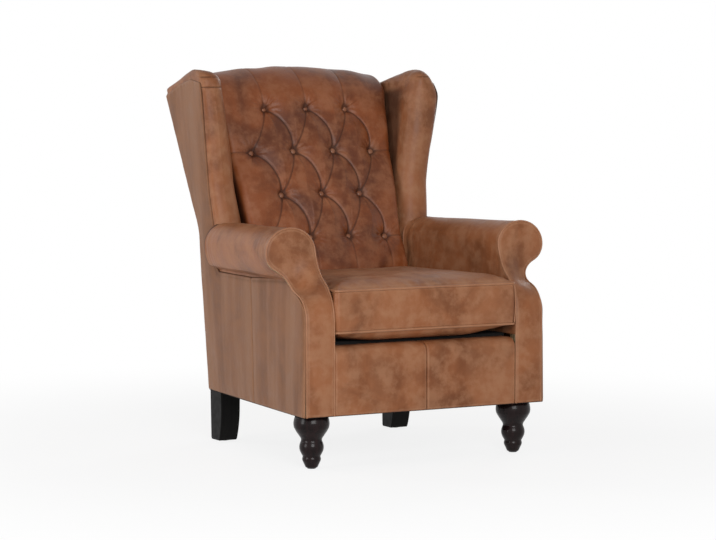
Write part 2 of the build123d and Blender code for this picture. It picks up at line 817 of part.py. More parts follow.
# Outside panels: a short cut under the arm and a tall one from the base to the top of the wing
panel_top_z = arm_under_z - gap
arm_panel_outline = polygon((0, base_z), (side_seam_y, base_z), (side_seam_y, panel_top_z),
                            (0, panel_top_z))
outside_arm_panel = ((side_prism(arm_panel_outline, 0, base_front_half + overrun)
                      & side_slab(0, leather)) - ahead_of_sweep(skin))
tall_panel_front_y = side_seam_y + gap
tall_panel_foot = polygon(
    (tall_panel_front_y, base_z), (rear_depth(base_z) - skin, base_z),
    (rear_depth(panel_top_z) - skin, panel_top_z), (tall_panel_front_y, panel_top_z))
outside_wing_panel = (side_prism(wing_outline(panel_top_z, 0) + tall_panel_foot,
                                 0, crest_front_half)
                      & side_slab(0, leather))

arch_radius = (back_high_half**2 + back_arch_drop**2) / (2 * back_arch_drop)


def arch_z(x, drop):
    """Height of the back's arch at a distance from the middle, lowered by drop."""
    return back_top_z - drop - arch_radius + math.sqrt(arch_radius**2 - x**2)


panel_corner_z = arch_z(crest_rear_half, back_step_drop + gap)
panel_waist_half = side_half(rear_depth(waist_z), waist_z)
panel_corner_half = side_half(rear_depth(panel_corner_z), panel_corner_z)
back_panel_outline = make_face([
    Polyline((-panel_corner_half, panel_corner_z), (-panel_waist_half, waist_z),
             (-base_rear_half, base_z), (base_rear_half, base_z), (panel_waist_half, waist_z),
             (panel_corner_half, panel_corner_z)),
    ThreePointArc((panel_corner_half, panel_corner_z), (0, arch_z(0, back_step_drop + gap)),
                  (-panel_corner_half, panel_corner_z))])
outside_back = (side_prism(rear_outline(base_z, back_top_z, 0, leather),
                           -crest_front_half, crest_front_half)
                & front_prism(back_panel_outline, base_front_half, crest_rear_y + overrun))
outside_back = outside_back - back_body(quilt_section, gap)


# Front border
def border_line(inset):
    """Front and rolled top of the border in (y, z), drawn in by inset."""
    centre = (border_roll_radius, border_top_z - border_roll_radius)
    return [Line((inset, base_z), (inset, centre[1])),
            arc(centre, border_roll_radius - inset, 180, 90),
            Line((centre[0], border_top_z - inset), (border_depth, border_top_z - inset))]


border_skin = make_face([*border_line(0), *border_line(leather),
                         Line((0, base_z), (leather, base_z)),
                         Line((border_depth, border_top_z),
                              (border_depth, border_top_z - leather))])
border_half = arm_inner_x - gap
strap_top_z = rail_top_z + strap_thickness * 2
front_border_cover = pair(side_prism(border_skin, gap / 2, border_half))
border_pad_z = strap_top_z + gap
border_pad_y = front_rail_near - gap
front_border_pad = side_prism(make_face([
    *border_line(skin),
    Polyline((border_depth, border_top_z - skin), (border_depth, border_pad_z),
             (border_pad_y, border_pad_z), (border_pad_y, base_z), (skin, base_z))]),
    -border_half, border_half)


# Deck under the loose cushion
deck_cloth_top_z = deck_top_z - gap
deck_foam_top_z = deck_cloth_top_z - deck_cloth_thickness - gap
deck_front_y = border_depth + gap
deck_rear_y = on_back(rise_at(border_pad_z, strap_near), strap_near)[0] - gap
deck_plan = polygon((-border_half, deck_front_y), (border_half, deck_front_y),
                    (border_half, deck_rear_y), (-border_half, deck_rear_y))
deck_foam = plan_prism(deck_plan, border_pad_z, deck_foam_top_z)
deck_cloth = plan_prism(deck_plan, deck_foam_top_z + gap, deck_cloth_top_z)

seat_straps = []
strap_reach = upright_x(base_z) - back_upright_width - gap - strap_width / 2
for place in range(seat_strap_count):
    x = between(-strap_reach, strap_reach, place / (seat_strap_count - 1))
    seat_straps.append(plan_prism(polygon(
        (x - strap_width / 2, post_near + gap), (x + strap_width / 2, post_near + gap),
        (x + strap_width / 2, lower_rail_far - gap), (x - strap_width / 2, lower_rail_far - gap)),
        rail_top_z, rail_top_z + strap_thickness))
for place in range(seat_cross_strap_count):
    share = (place + 1) / (seat_cross_strap_count + 1)
    y = between(deck_front_y, deck_rear_y, share)
    half = rail_inner(y) + rail_thickness / 2
    seat_straps.append(plan_prism(polygon(
        (-half, y - strap_width / 2), (half, y - strap_width / 2),
        (half, y + strap_width / 2), (-half, y + strap_width / 2)),
        rail_top_z + strap_thickness, strap_top_z))
seat_webbing = Compound(seat_straps)


# Legs
leg_low_z = foot_glide_height - foot_glide_pocket


def front_leg_outline():
    """Half profile of the turned leg in (radius, z), from its flat top to its foot."""
    radius_share, rise_share = front_leg_hollow_shares
    toe_radius_share, toe_rise_share = front_leg_toe_shares
    top = (front_leg_top_radius, base_z)
    bulb = (front_leg_bulb_radius, base_z - front_leg_bulb_drop)
    shoulder = (front_leg_shoulder_radius, base_z - front_leg_shoulder_drop)
    neck = (front_leg_neck_radius, front_leg_neck_z)
    hollow = (between(shoulder[0], neck[0], radius_share), between(neck[1], shoulder[1], rise_share))
    vase = (front_leg_vase_radius, front_leg_vase_z)
    waist = (front_leg_waist_radius, front_leg_waist_z)
    ring = (front_leg_ring_radius, front_leg_ring_z)
    below_ring = (front_leg_waist_radius, front_leg_ring_low_z)
    toe = (front_leg_toe_radius, leg_low_z)
    toe_middle = (between(toe[0], below_ring[0], toe_radius_share),
                  between(toe[1], below_ring[1], toe_rise_share))
    return make_face([
        Polyline(toe, (0, leg_low_z), (0, base_z), top),
        ThreePointArc(top, bulb, shoulder),
        ThreePointArc(shoulder, hollow, neck),
        ThreePointArc(neck, vase, waist),
        ThreePointArc(waist, ring, below_ring),
        ThreePointArc(below_ring, toe_middle, toe)])


def bolt_hole(x, y, top_z):
    """Clearance hole for a leg's bolt, from inside the leg to a height."""
    return Pos(x, y, base_z - bolt_in_leg - gap) * Cylinder(
        bolt_radius + gap, top_z - base_z + bolt_in_leg + gap * 2,
        align=(Align.CENTER, Align.CENTER, Align.MIN))


def glide_pocket(x, y):
    """Shallow pocket in the underside of a foot for its glide."""
    return Pos(x, y, 0) * Cylinder(foot_glide_radius + gap, foot_glide_height,
                                   align=(Align.CENTER, Align.CENTER, Align.MIN))


def glide(x, y):
    """Round glide with a chamfered edge."""
    disc = Cylinder(foot_glide_radius, foot_glide_height,
                    align=(Align.CENTER, Align.CENTER, Align.MIN))
    low_edge = disc.edges().sort_by(Axis.Z)[0]
    return Pos(x, y, 0) * chamfer(low_edge, foot_glide_pocket / 2)


front_bolt_top_z = base_z + corner_block_height
front_leg = Pos(front_leg_x, front_leg_y, 0) * revolve(Plane.XZ * front_leg_outline(), axis=Axis.Z)
front_leg = (front_leg - bolt_hole(front_leg_x, front_leg_y, base_z)
             - glide_pocket(front_leg_x, front_leg_y))

rear_leg_far_y = rear_leg_y + rear_leg_top_depth / 2
rear_leg_near_y = rear_leg_far_y - rear_leg_top_depth
rear_leg_toe_y = rear_leg_far_y - rear_leg_foot_depth
rear_leg_bend_z = base_z * rear_leg_bend_share
rear_leg_side = make_face([
    Polyline((rear_leg_toe_y, leg_low_z), (rear_leg_far_y, leg_low_z), (rear_leg_far_y, base_z),
             (rear_leg_near_y, base_z), (rear_leg_near_y, rear_leg_bend_z)),
    TangentArc((rear_leg_near_y, rear_leg_bend_z), (rear_leg_toe_y, leg_low_z), tangent=(0, -1))])
rear_leg_front = polygon((-rear_leg_foot_width / 2, leg_low_z), (rear_leg_foot_width / 2, leg_low_z),
                         (rear_leg_top_width / 2, base_z), (-rear_leg_top_width / 2, base_z))
rear_glide_y = (rear_leg_toe_y + rear_leg_far_y) / 2
rear_bolt_x = post_inner_x + back_post_width / 2
rear_bolt_y = (post_front_y + rear_leg_far_y) / 2
rear_leg = (side_prism(rear_leg_side, 0, base_rear_half * 2)
            & Pos(rear_leg_x, 0, 0) * front_prism(rear_leg_front, 0, base_rear_y))
rear_leg = (rear_leg - bolt_hole(rear_bolt_x, rear_bolt_y, base_z)
            - glide_pocket(rear_leg_x, rear_glide_y))
back_post = back_post - bolt_hole(rear_bolt_x, rear_bolt_y, base_z + bolt_in_post)
front_block = front_block - bolt_hole(front_leg_x, front_leg_y, front_bolt_top_z)

front_bolt = Pos(front_leg_x, front_leg_y, base_z - bolt_in_leg) * Cylinder(
    bolt_radius, bolt_in_leg + corner_block_height, align=(Align.CENTER, Align.CENTER, Align.MIN))
front_bolt += Pos(front_leg_x, front_leg_y, front_bolt_top_z) * extrude(
    RegularPolygon(bolt_head_radius, 6), amount=bolt_head_height)
rear_bolt = Pos(rear_bolt_x, rear_bolt_y, base_z - bolt_in_leg) * Cylinder(
    bolt_radius, bolt_in_leg + bolt_in_post, align=(Align.CENTER, Align.CENTER, Align.MIN))

dust_cover_edge = back_post_setback / 2
dust_front = side_half(dust_cover_edge, base_z) - dust_cover_edge
dust_rear = side_half(base_rear_y - dust_cover_edge, base_z) - dust_cover_edge
dust_cover = plan_prism(polygon(
    (-dust_front, dust_cover_edge), (dust_front, dust_cover_edge),
    (dust_rear, base_rear_y - dust_cover_edge), (-dust_rear, base_rear_y - dust_cover_edge)),
    base_z - dust_cover_thickness, base_z)
leg_hole = Pos(front_leg_x, front_leg_y, base_z - dust_cover_thickness) * Cylinder(
    side_half(front_leg_y, base_z) - front_leg_x - dust_cover_edge * 2, dust_cover_thickness,
    align=(Align.CENTER, Align.CENTER, Align.MIN))
rear_hole = Pos(rear_leg_x, rear_leg_y, base_z - dust_cover_thickness) * Box(
    rear_leg_top_width + gap * 2, rear_leg_top_depth + gap * 2, dust_cover_thickness,
    align=(Align.CENTER, Align.CENTER, Align.MIN))
dust_cover = dust_cover - [*pair(leg_hole).solids(), *pair(rear_hole).solids()]


# Loose seat cushion
cushion_front_half = arm_inner_x - cushion_clearance - piping_radius
cushion_rear_half = cushion_front_half - cushion_rear_narrowing
cushion_middle_y = (cushion_front_y + cushion_rear_y) / 2
cushion_middle_z = (cushion_low_seam_z + cushion_high_seam_z) / 2


def cushion_outline(grow, share):
    """Plan of the cushion: sides drawn in between rounded corners, scaled about its middle."""
    half_length = ((cushion_rear_y - cushion_front_y) / 2 + grow) * share
    front_half = (cushion_front_half + grow) * share
    rear_half = (cushion_rear_half + grow) * share
    front_y = cushion_middle_y - half_length
    rear_y = cushion_middle_y + half_length
    middle_half = (front_half + rear_half) / 2 - cushion_draw_in * share
    outline = make_face([
        ThreePointArc((-front_half, front_y), (0, front_y + cushion_draw_in * share),
                      (front_half, front_y)),
        ThreePointArc((front_half, front_y), (middle_half, cushion_middle_y),
                      (rear_half, rear_y)),
        Line((rear_half, rear_y), (-rear_half, rear_y)),
        ThreePointArc((-rear_half, rear_y), (-middle_half, cushion_middle_y),
                      (-front_half, front_y))])
    return fillet(outline.vertices(), (cushion_corner_radius + grow) * share)


piping_room = piping_radius + gap * 3


def cushion_crown_body(inset):
    """Domed top of the cushion inside its upper piping."""
    return loft([Pos(0, 0, cushion_high_seam_z + cushion_crown * rise - inset)
                 * cushion_outline(-piping_room - inset, share) for share, rise in crown_shares])


def cushion_belly_body(inset):
    """Underside of the cushion inside its lower piping, flat where it rests on the deck."""
    belly = cushion_low_seam_z - deck_top_z
    return loft([Pos(0, 0, cushion_low_seam_z - belly * drop + inset)
                 * cushion_outline(-piping_room - inset, share) for share, drop in belly_shares])


def cushion_side_body(seam_inset, middle_inset, end_inset):
    """Bulging side of the cushion between its two rows of piping."""
    return loft([Pos(0, 0, z) * cushion_outline(grow, 1) for z, grow in (
        (cushion_low_seam_z + end_inset, -seam_inset),
        (cushion_middle_z, cushion_bulge - middle_inset),
        (cushion_high_seam_z - end_inset, -seam_inset))])


def piping(z):
    """Cord of piping round the cushion at a seam."""
    runs = [sweep(Plane(origin=edge @ 0, z_dir=edge % 0) * Circle(piping_radius), path=edge)
            for edge in (Pos(0, 0, z) * cushion_outline(0, 1)).edges()]
    return runs[0] + runs[1:]


cushion_piping = Compound([*piping(cushion_low_seam_z).solids(),
                           *piping(cushion_high_seam_z).solids()])
cushion_top_panel = cushion_crown_body(0) - cushion_crown_body(leather)
cushion_bottom_panel = cushion_belly_body(0) - cushion_belly_body(leather)
cushion_boxing = (cushion_side_body(0, 0, piping_room)
                  - cushion_side_body(leather, leather, piping_room))
cushion_core = (cushion_side_body(piping_room, skin, 0) + cushion_crown_body(skin)
                + cushion_belly_body(skin))

zip_half_length = cushion_rear_half * zip_length_share
zip_near_y = cushion_rear_y + cushion_bulge + gap
zip_far_y = zip_near_y + zip_thickness
zip_tape = front_prism(polygon((-zip_half_length, cushion_middle_z - zip_width / 2),
                               (zip_half_length, cushion_middle_z - zip_width / 2),
                               (zip_half_length, cushion_middle_z + zip_width / 2),
                               (-zip_half_length, cushion_middle_z + zip_width / 2)),
                       zip_near_y, zip_far_y)
teeth_far_y = zip_far_y + zip_thickness
zip_teeth = front_prism(polygon((-zip_half_length, cushion_middle_z - zip_teeth_width / 2),
                                (zip_half_length, cushion_middle_z - zip_teeth_width / 2),
                                (zip_half_length, cushion_middle_z + zip_teeth_width / 2),
                                (-zip_half_length, cushion_middle_z + zip_teeth_width / 2)),
                        zip_far_y, teeth_far_y)
cushion_zip = zip_tape + zip_teeth
slider_x = zip_half_length - zip_slider_length / 2
slider_nose = zip_slider_nose_width / 2
zip_slider = front_prism(polygon(
    (slider_x - zip_slider_length / 2, cushion_middle_z - slider_nose),
    (slider_x, cushion_middle_z - zip_slider_width / 2),
    (slider_x + zip_slider_length / 2, cushion_middle_z - zip_slider_width / 2),
    (slider_x + zip_slider_length / 2, cushion_middle_z + zip_slider_width / 2),
    (slider_x, cushion_middle_z + zip_slider_width / 2),
    (slider_x - zip_slider_length / 2, cushion_middle_z + slider_nose)),
    teeth_far_y + gap, teeth_far_y + gap + zip_slider_height)


# Every piece under its node's name
pieces = {
    "front_leg_right": front_leg, "rear_leg_right": rear_leg,
    "arm_post_right": arm_post, "arm_rail_right": arm_rail, "side_seat_rail_right": side_rail,
    "back_post_right": back_post, "back_upright_right": back_upright,
    "wing_board_right": wing_board, "arm_foam_right": arm_foam, "arm_cover_right": arm_cover,
    "arm_facing_right": arm_facing, "arm_facing_pad_right": arm_facing_pad,
    "outside_arm_panel_right": outside_arm_panel, "wing_foam_right": wing_foam,
    "wing_cover_right": wing_cover, "outside_wing_panel_right": outside_wing_panel,
}
pieces.update({name.removesuffix("right") + "left": other_side(piece)
               for name, piece in pieces.items()})
pieces.update({
    "front_seat_rail": front_rail, "rear_seat_rail": rear_rail,
    "corner_blocks": Compound([*pair(front_block).solids(), *pair(rear_block).solids()]),
    "top_back_rail": top_back_rail, "lower_back_rail": lower_back_rail,
    "leg_bolts": Compound([*pair(front_bolt).solids(), *pair(rear_bolt).solids()]),
    "leg_glides": Compound([*pair(glide(front_leg_x, front_leg_y)).solids(),
                            *pair(glide(rear_leg_x, rear_glide_y)).solids()]),
    "seat_webbing": seat_webbing, "back_webbing": back_webbing,
    "deck_foam": deck_foam, "deck_cloth": deck_cloth, "dust_cover": dust_cover,
    "front_border_pad": front_border_pad, "front_border_cover": front_border_cover,
    "back_foam": back_foam, "back_quilt": back_quilt, "tufting_buttons": tufting_buttons,
    "outside_back_panel": outside_back,
    "cushion_core": cushion_core, "cushion_top_panel": cushion_top_panel,
    "cushion_bottom_panel": cushion_bottom_panel, "cushion_boxing": cushion_boxing,
    "cushion_piping": cushion_piping, "cushion_zip": cushion_zip, "zip_slider": zip_slider,
})

# The origin goes to the floor under the middle of the chair's box
boxes = [piece.bounding_box() for piece in pieces.values()]
middle_y = (min(box.min.Y for box in boxes) + max(box.max.Y for box in boxes)) / 2
os.makedirs("parts", exist_ok=True)
for name, piece in pieces.items():
    export_step(Pos(0, -middle_y, 0) * piece, f"parts/{name}.step")
print("pieces", len(pieces), "front plane of the arm posts at y", round(-middle_y, 3))
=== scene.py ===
"""Wing chair in mottled leather, dressed over its packed construction model."""

import json
import logging
import math
from dataclasses import dataclass, field
from enum import Enum
from functools import cache, reduce
from typing import Callable, Sequence

import bmesh
import bpy
import numpy as np
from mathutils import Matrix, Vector
from mathutils.geometry import delaunay_2d_cdt


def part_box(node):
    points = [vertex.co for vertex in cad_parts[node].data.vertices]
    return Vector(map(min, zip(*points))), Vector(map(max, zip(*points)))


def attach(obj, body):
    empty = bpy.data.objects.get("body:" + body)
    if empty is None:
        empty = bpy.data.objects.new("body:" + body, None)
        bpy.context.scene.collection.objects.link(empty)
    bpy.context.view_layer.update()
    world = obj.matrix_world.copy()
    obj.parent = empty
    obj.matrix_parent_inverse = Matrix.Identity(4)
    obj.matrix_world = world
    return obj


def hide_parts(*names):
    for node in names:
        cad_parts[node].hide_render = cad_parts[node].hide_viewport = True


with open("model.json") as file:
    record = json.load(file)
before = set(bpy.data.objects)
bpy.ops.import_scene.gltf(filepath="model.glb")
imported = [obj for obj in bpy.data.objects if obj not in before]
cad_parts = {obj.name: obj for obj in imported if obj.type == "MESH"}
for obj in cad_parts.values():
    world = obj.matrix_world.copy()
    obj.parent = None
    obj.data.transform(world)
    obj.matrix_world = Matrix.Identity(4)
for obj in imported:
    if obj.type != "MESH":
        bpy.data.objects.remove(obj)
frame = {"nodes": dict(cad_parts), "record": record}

LOG = logging.getLogger("wing_chair")
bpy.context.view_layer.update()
MM = 0.001
FRONT_LEG_DEPTH = 68.0
NECK_POINTS = 3
FRAME_BODY = "chair_frame"
CUSHION_BODY = "seat_cushion"

Array = np.ndarray
Face = tuple[int, ...]
Pair = tuple[float, float]
Triple = tuple[float, float, float]
Numbers = tuple[float, ...]
Piece = bpy.types.Object
Socket = bpy.types.NodeSocket
Placement = Callable[[Array], Array]


class Side(Enum):
    """Which side of the chair a piece is on, seen from the front."""

    LEFT = -1
    RIGHT = 1

    @property
    def word(self) -> str:
        """The side's ending in a node's name."""
        return self.name.lower()


def depth_shift() -> float:
    """How far the row frame is moved along y from the plane of the arm fronts, in metres."""
    low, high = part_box("front_leg_right")
    return (low.y + high.y) / 2 - FRONT_LEG_DEPTH * MM


DEPTH_SHIFT = depth_shift()


def to_row(points: Array) -> Array:
    """Turn the maker's millimetres, with y from the arm fronts, into the row frame's metres."""
    return np.asarray(points, float) * MM + np.array([0.0, DEPTH_SHIFT, 0.0])


def blend_value(low: Array | float, high: Array | float, share: Array | float) -> Array | float:
    """Value at a share of the way from low to high."""
    return low + (high - low) * share


def ease(value: Array) -> Array:
    """Smooth step from 0 to 1."""
    share = np.clip(value, 0.0, 1.0)
    return share * share * (3.0 - 2.0 * share)


def ramp(value: Array, start: float, length: float) -> Array:
    """Smooth step from 0 at a start to 1 a length beyond it."""
    return ease((np.asarray(value, float) - start) / length)


def bell(value: Array, width: float, centre: float = 0.0) -> Array:
    """Bump that is 1 at its centre and falls away over its width."""
    return np.exp(-((value - centre) / width)**2)


def build_up(distance: Array, reach: float) -> Array:
    """Rise from 0 towards 1 over a reach."""
    return 1 - np.exp(-distance / reach)


def round_over(share: Array) -> Array:
    """Drop of a quarter round, from 0 to 1, at a share of the way over it."""
    return 1 - np.sqrt(np.maximum(1 - share**2, 0))


def ripple(points: Array, size: float, seed: int, waves: int = 14) -> Array:
    """Smooth, repeatable unevenness between about -1 and 1.

    Args:
        points: Places as rows, in millimetres.
        size: Typical distance between bumps, in millimetres.
        seed: Number that picks the pattern.
        waves: How many waves are added up.

    Returns:
        One value for each place.
    """
    finest, coarsest = 0.6, 1.5
    source = np.random.default_rng(seed)
    total = np.zeros(len(points))
    for _ in range(waves):
        direction = source.normal(size=points.shape[1])
        turns = 2 * math.pi / size * source.uniform(finest, coarsest)
        direction *= turns / np.linalg.norm(direction)
        total += np.sin(points @ direction + source.uniform(0, 2 * math.pi))
    return total / math.sqrt(waves * 2.0)


@dataclass(frozen=True)
class Shell:
    """Outer surface of the upholstered body, in millimetres."""

    base_z: float = 146.0
    waist_z: float = 610.0
    crest_z: float = 1004.0
    base_half: Pair = (380.0, 315.0)
    waist_half: Pair = (373.6, 345.0)
    crest_half: Pair = (408.3, 373.0)
    rear_y: Triple = (715.0, 717.0, 880.0)
    softening: float = 70.0

    def by_height(self, z: Array, base: Array, waist: Array, crest: Array) -> Array:
        """Value at a height, from its values at the base, the waist and the crest.

        Args:
            z: Height of each place.
            base: Value at the base.
            waist: Value at the waist.
            crest: Value at the crest.

        Returns:
            The value at each place.
        """
        lower = blend_value(base, waist, (z - self.base_z) / (self.waist_z - self.base_z))
        upper = blend_value(waist, crest, (z - self.waist_z) / (self.crest_z - self.waist_z))
        share = ease((z - self.waist_z + self.softening) / (2 * self.softening))
        return blend_value(lower, upper, share)

    def side_half(self, y: Array, z: Array) -> Array:
        """Half width of the body at a depth and height.

        Args:
            y: Depth of each place.
            z: Height of each place.

        Returns:
            The half width at each place.
        """
        halves = (self.base_half, self.waist_half, self.crest_half)
        levels = [blend_value(*half, y / depth) for half, depth in zip(halves, self.rear_y)]
        return self.by_height(z, *levels)

    def rear_depth(self, z: Array) -> Array:
        """Depth of the outside back at a height."""
        return self.by_height(z, *self.rear_y)


SHELL = Shell()


@dataclass(frozen=True)
class Sweep:
    """Ogee line of the arm's front in side view."""

    low_z: float = 400.0
    high_z: float = 545.0
    run: float = 110.0

    def depth(self, z: Array) -> Array:
        """How far back the arm's front lies at a height.

        Args:
            z: Height of each place.

        Returns:
            The depth at each place.
        """
        rise = (self.high_z - self.low_z) / 2
        turn = 2 * math.atan2(self.run / 2, rise)
        radius = rise / math.sin(turn)
        height = np.clip(np.asarray(z, float) - self.low_z, 0.0, 2 * rise)
        low = radius - np.sqrt(np.maximum(radius**2 - height**2, 0.0))
        high = self.run - radius + np.sqrt(np.maximum(radius**2 - (2 * rise - height)**2, 0.0))
        return np.where(height < rise, low, high)


SWEEP = Sweep()
INNER_SWEEP = Sweep(high_z=605.0)


def front_depth(x: Array, z: Array) -> Array:
    """How far back an arm's front lies; its inner edge comes forward more slowly."""
    share = ease((FRONT_ROLL.x - np.asarray(x, float)) / FRONT_ROLL.radius)
    return blend_value(SWEEP.depth(z), INNER_SWEEP.depth(z), share)


@dataclass(frozen=True)
class Roll:
    """Scroll of an arm in section, from its neck round to its inner side."""

    x: float
    z: float
    radius: float
    neck_x: float
    curl_share: float = 0.685
    curl_angle: float = 64.0
    flat_top: float = 0.9

    def line(self, foot_z: float, steps: int = 12) -> Array:
        """Places along the scroll, from the foot of its neck to the top of its inner side.

        Args:
            foot_z: Height at which the neck starts.
            steps: Points on each quarter of the scroll.

        Returns:
            Rows of x and z.
        """
        curl = self.radius * self.curl_share
        curl_x = self.x + self.radius - curl
        turn = math.radians(self.curl_angle)
        end_x = curl_x + curl * math.cos(turn)
        end_z = self.z - curl * math.sin(turn)
        neck_radius = (end_x - self.neck_x) / (1 - math.cos(turn))
        neck_z = end_z - neck_radius * math.sin(turn)
        neck = blend_value(foot_z, neck_z, np.linspace(0.0, 1.0, NECK_POINTS, endpoint=False))
        arcs = [(self.neck_x + neck_radius, neck_z, neck_radius, neck_radius,
                 np.linspace(math.pi, math.pi - turn, steps)[:-1]),
                (curl_x, self.z, curl, curl, np.linspace(-turn, 0.0, steps)[:-1]),
                (self.x, self.z, self.radius, self.radius * self.flat_top,
                 np.linspace(0.0, math.pi, 2 * steps))]
        return np.vstack([np.column_stack([np.full(NECK_POINTS, self.neck_x), neck])]
                         + [np.column_stack([x + wide * np.cos(angles), z + high * np.sin(angles)])
                            for x, z, wide, high, angles in arcs])


FRONT_ROLL = Roll(x=360.0, z=580.0, radius=73.0, neck_x=370.0)
REAR_ROLL = Roll(x=322.0, z=578.0, radius=66.0, neck_x=343.5)


def arm_lean(side: Side, z: Array) -> Array:
    """How far the scroll of an arm stands further out; the right one does."""
    lean_out = 8.0 if side is Side.RIGHT else 0.0
    return lean_out * ramp(z, start=480.0, length=70.0)


def wing_flare(side: Side, y: Array, z: Array) -> Array:
    """How the front of the right wing leans out near its top and rounds in over it.

    Args:
        side: Which wing.
        y: Depth of each place.
        z: Height of each place.

    Returns:
        How far out each place leans.
    """
    if side is Side.LEFT:
        return np.zeros_like(y + z)
    lean_out, round_in = 17.0, 36.0
    out = lean_out * ramp(z, start=760.0, length=240.0) * (1 - ramp(y, start=620.0, length=150.0))
    over = round_in * ramp(z, start=985.0, length=95.0) * (1 - ramp(y, start=640.0, length=120.0))
    return out - over


@dataclass
class Mesh:
    """Points and faces of one piece, with its wear and painted light: over 0 lighter, under 0
    painted shade.
    """

    points: Array
    faces: list[Face]
    rub: Array | None = None

    def joined(self, other: "Mesh") -> "Mesh":
        """This mesh and another as one, unwelded.

        Args:
            other: The mesh that is added.

        Returns:
            The joined mesh.
        """
        start = len(self.points)
        faces = self.faces + [tuple(i + start for i in face) for face in other.faces]
        first = np.zeros(start) if self.rub is None else self.rub
        second = np.zeros(len(other.points)) if other.rub is None else other.rub
        return Mesh(np.vstack([self.points, other.points]), faces, np.concatenate([first, second]))


def turned_over(faces: Sequence[Face]) -> list[Face]:
    """The same faces, facing the other way."""
    return [tuple(reversed(face)) for face in faces]


def two_skins(faces: Sequence[Face], count: int) -> list[Face]:
    """Faces of a skin, and of the same skin turned over, whose points follow the first's."""
    behind = [tuple(i + count for i in face) for face in turned_over(faces)]
    return list(faces) + behind


def grid_faces(rows: int, columns: int, closed: bool = False, flip: bool = False) -> list[Face]:
    """Faces of a grid of points stored row after row.

    Args:
        rows: Number of rows.
        columns: Points in each row.
        closed: Whether each row's last point joins its first.
        flip: Whether the faces are turned over.

    Returns:
        Four-sided faces.
    """
    faces = []
    last = columns if closed else columns - 1
    for row in range(rows - 1):
        for column in range(last):
            after = (column + 1) % columns
            faces.append((row * columns + column, row * columns + after,
                          (row + 1) * columns + after, (row + 1) * columns + column))
    return turned_over(faces) if flip else faces


def loft(rings: Sequence[Array], flip: bool = False) -> Mesh:
    """Skin over rings of points, with both ends closed.

    Args:
        rings: Rings with as many points each.
        flip: Whether the faces are turned over.

    Returns:
        The closed mesh.
    """
    points = np.vstack(rings)
    count = len(rings[0])
    ends = [tuple(reversed(range(count))), tuple(range(len(points) - count, len(points)))]
    if flip:
        ends = turned_over(ends)
    return Mesh(points, grid_faces(len(rings), count, closed=True, flip=flip) + ends)


def grid_normals(points: Array) -> Array:
    """Directions away from a surface given as rows and columns of points."""
    normals = np.cross(np.gradient(points, axis=0), np.gradient(points, axis=1))
    return normals / np.maximum(np.linalg.norm(normals, axis=2), 1e-9)[..., None]


def spread(points: Array, step: float, closed: bool = True) -> Array:
    """Set points along a line no further apart than a step, keeping its corners.

    Args:
        points: The line, as rows.
        step: Largest distance between two points.
        closed: Whether the line comes back to its start.

    Returns:
        The line with points added on its long runs.
    """
    line = np.asarray(points, float)
    if closed:
        line = np.vstack([line, line[:1]])
    made = []
    for start, end in zip(line[:-1], line[1:]):
        pieces = max(1, math.ceil(np.linalg.norm(end - start) / step))
        made.extend(start + (end - start) * k / pieces for k in range(pieces))
    return np.array(made if closed else [*made, line[-1]])


def rounded(corners: Sequence[Triple], steps: int = 7) -> Array:
    """Closed outline whose corners are rounded.

    Args:
        corners: For each corner its two coordinates and its radius.
        steps: Points on each rounded corner.

    Returns:
        Rows of two coordinates.
    """
    most_of_run = 0.49
    made = []
    count = len(corners)
    for place, (u, v, radius) in enumerate(corners):
        here = np.array([u, v])
        before = np.array(corners[place - 1][:2]) - here
        after = np.array(corners[(place + 1) % count][:2]) - here
        if radius <= 0:
            made.append(here)
            continue
        before_unit = before / np.linalg.norm(before)
        after_unit = after / np.linalg.norm(after)
        half = math.acos(float(np.clip(before_unit @ after_unit, -1, 1))) / 2
        reach = min(radius / math.tan(half), np.linalg.norm(before) * most_of_run,
                    np.linalg.norm(after) * most_of_run)
        start, end = here + before_unit * reach, here + after_unit * reach
        for share in np.linspace(0.0, 1.0, steps):
            made.append((1 - share)**2 * start + 2 * share * (1 - share) * here + share**2 * end)
    return np.array(made)


def tube(path: Array, radius: float, sides: int = 10, closed: bool = False) -> Mesh:
    """Round cord along a line.

    Args:
        path: The line, as rows of x, y, z.
        radius: The cord's radius.
        sides: Points round the cord.
        closed: Whether the line comes back to its start.

    Returns:
        The cord's mesh, with its ends closed when it is open.
    """
    line = np.asarray(path, float)
    if closed:
        tangents = np.roll(line, -1, axis=0) - np.roll(line, 1, axis=0)
    else:
        tangents = np.gradient(line, axis=0)
    tangents /= np.linalg.norm(tangents, axis=1)[:, None]
    normal = np.cross(tangents[0], [0.3, 0.5, 0.81])
    rings = []
    for place, tangent in zip(line, tangents):
        normal = normal - tangent * (normal @ tangent)
        normal /= np.linalg.norm(normal)
        other = np.cross(tangent, normal)
        angles = np.linspace(0, 2 * math.pi, sides, endpoint=False)
        rings.append(place + radius * (np.cos(angles)[:, None] * normal
                                       + np.sin(angles)[:, None] * other))
    if not closed:
        return loft(rings)
    last, first = rings[-1], rings[0]
    offset = int(np.argmin([np.linalg.norm(last[0] - point) for point in first]))
    rings.append(np.roll(first, -offset, axis=0))
    return Mesh(np.vstack(rings), grid_faces(len(rings), sides, closed=True))


def lathe(profile: Array, centre: Pair, sides: int = 64) -> Mesh:
    """Turned piece about an upright axis.

    Args:
        profile: Rows of radius and height, from top to bottom.
        centre: The axis in x and y.
        sides: Points round the piece.

    Returns:
        The turned mesh, closed at both ends.
    """
    angles = np.linspace(0, 2 * math.pi, sides, endpoint=False)
    return loft([np.column_stack([centre[0] + radius * np.cos(angles),
                                  centre[1] + radius * np.sin(angles),
                                  np.full(sides, height)]) for radius, height in profile],
                flip=True)


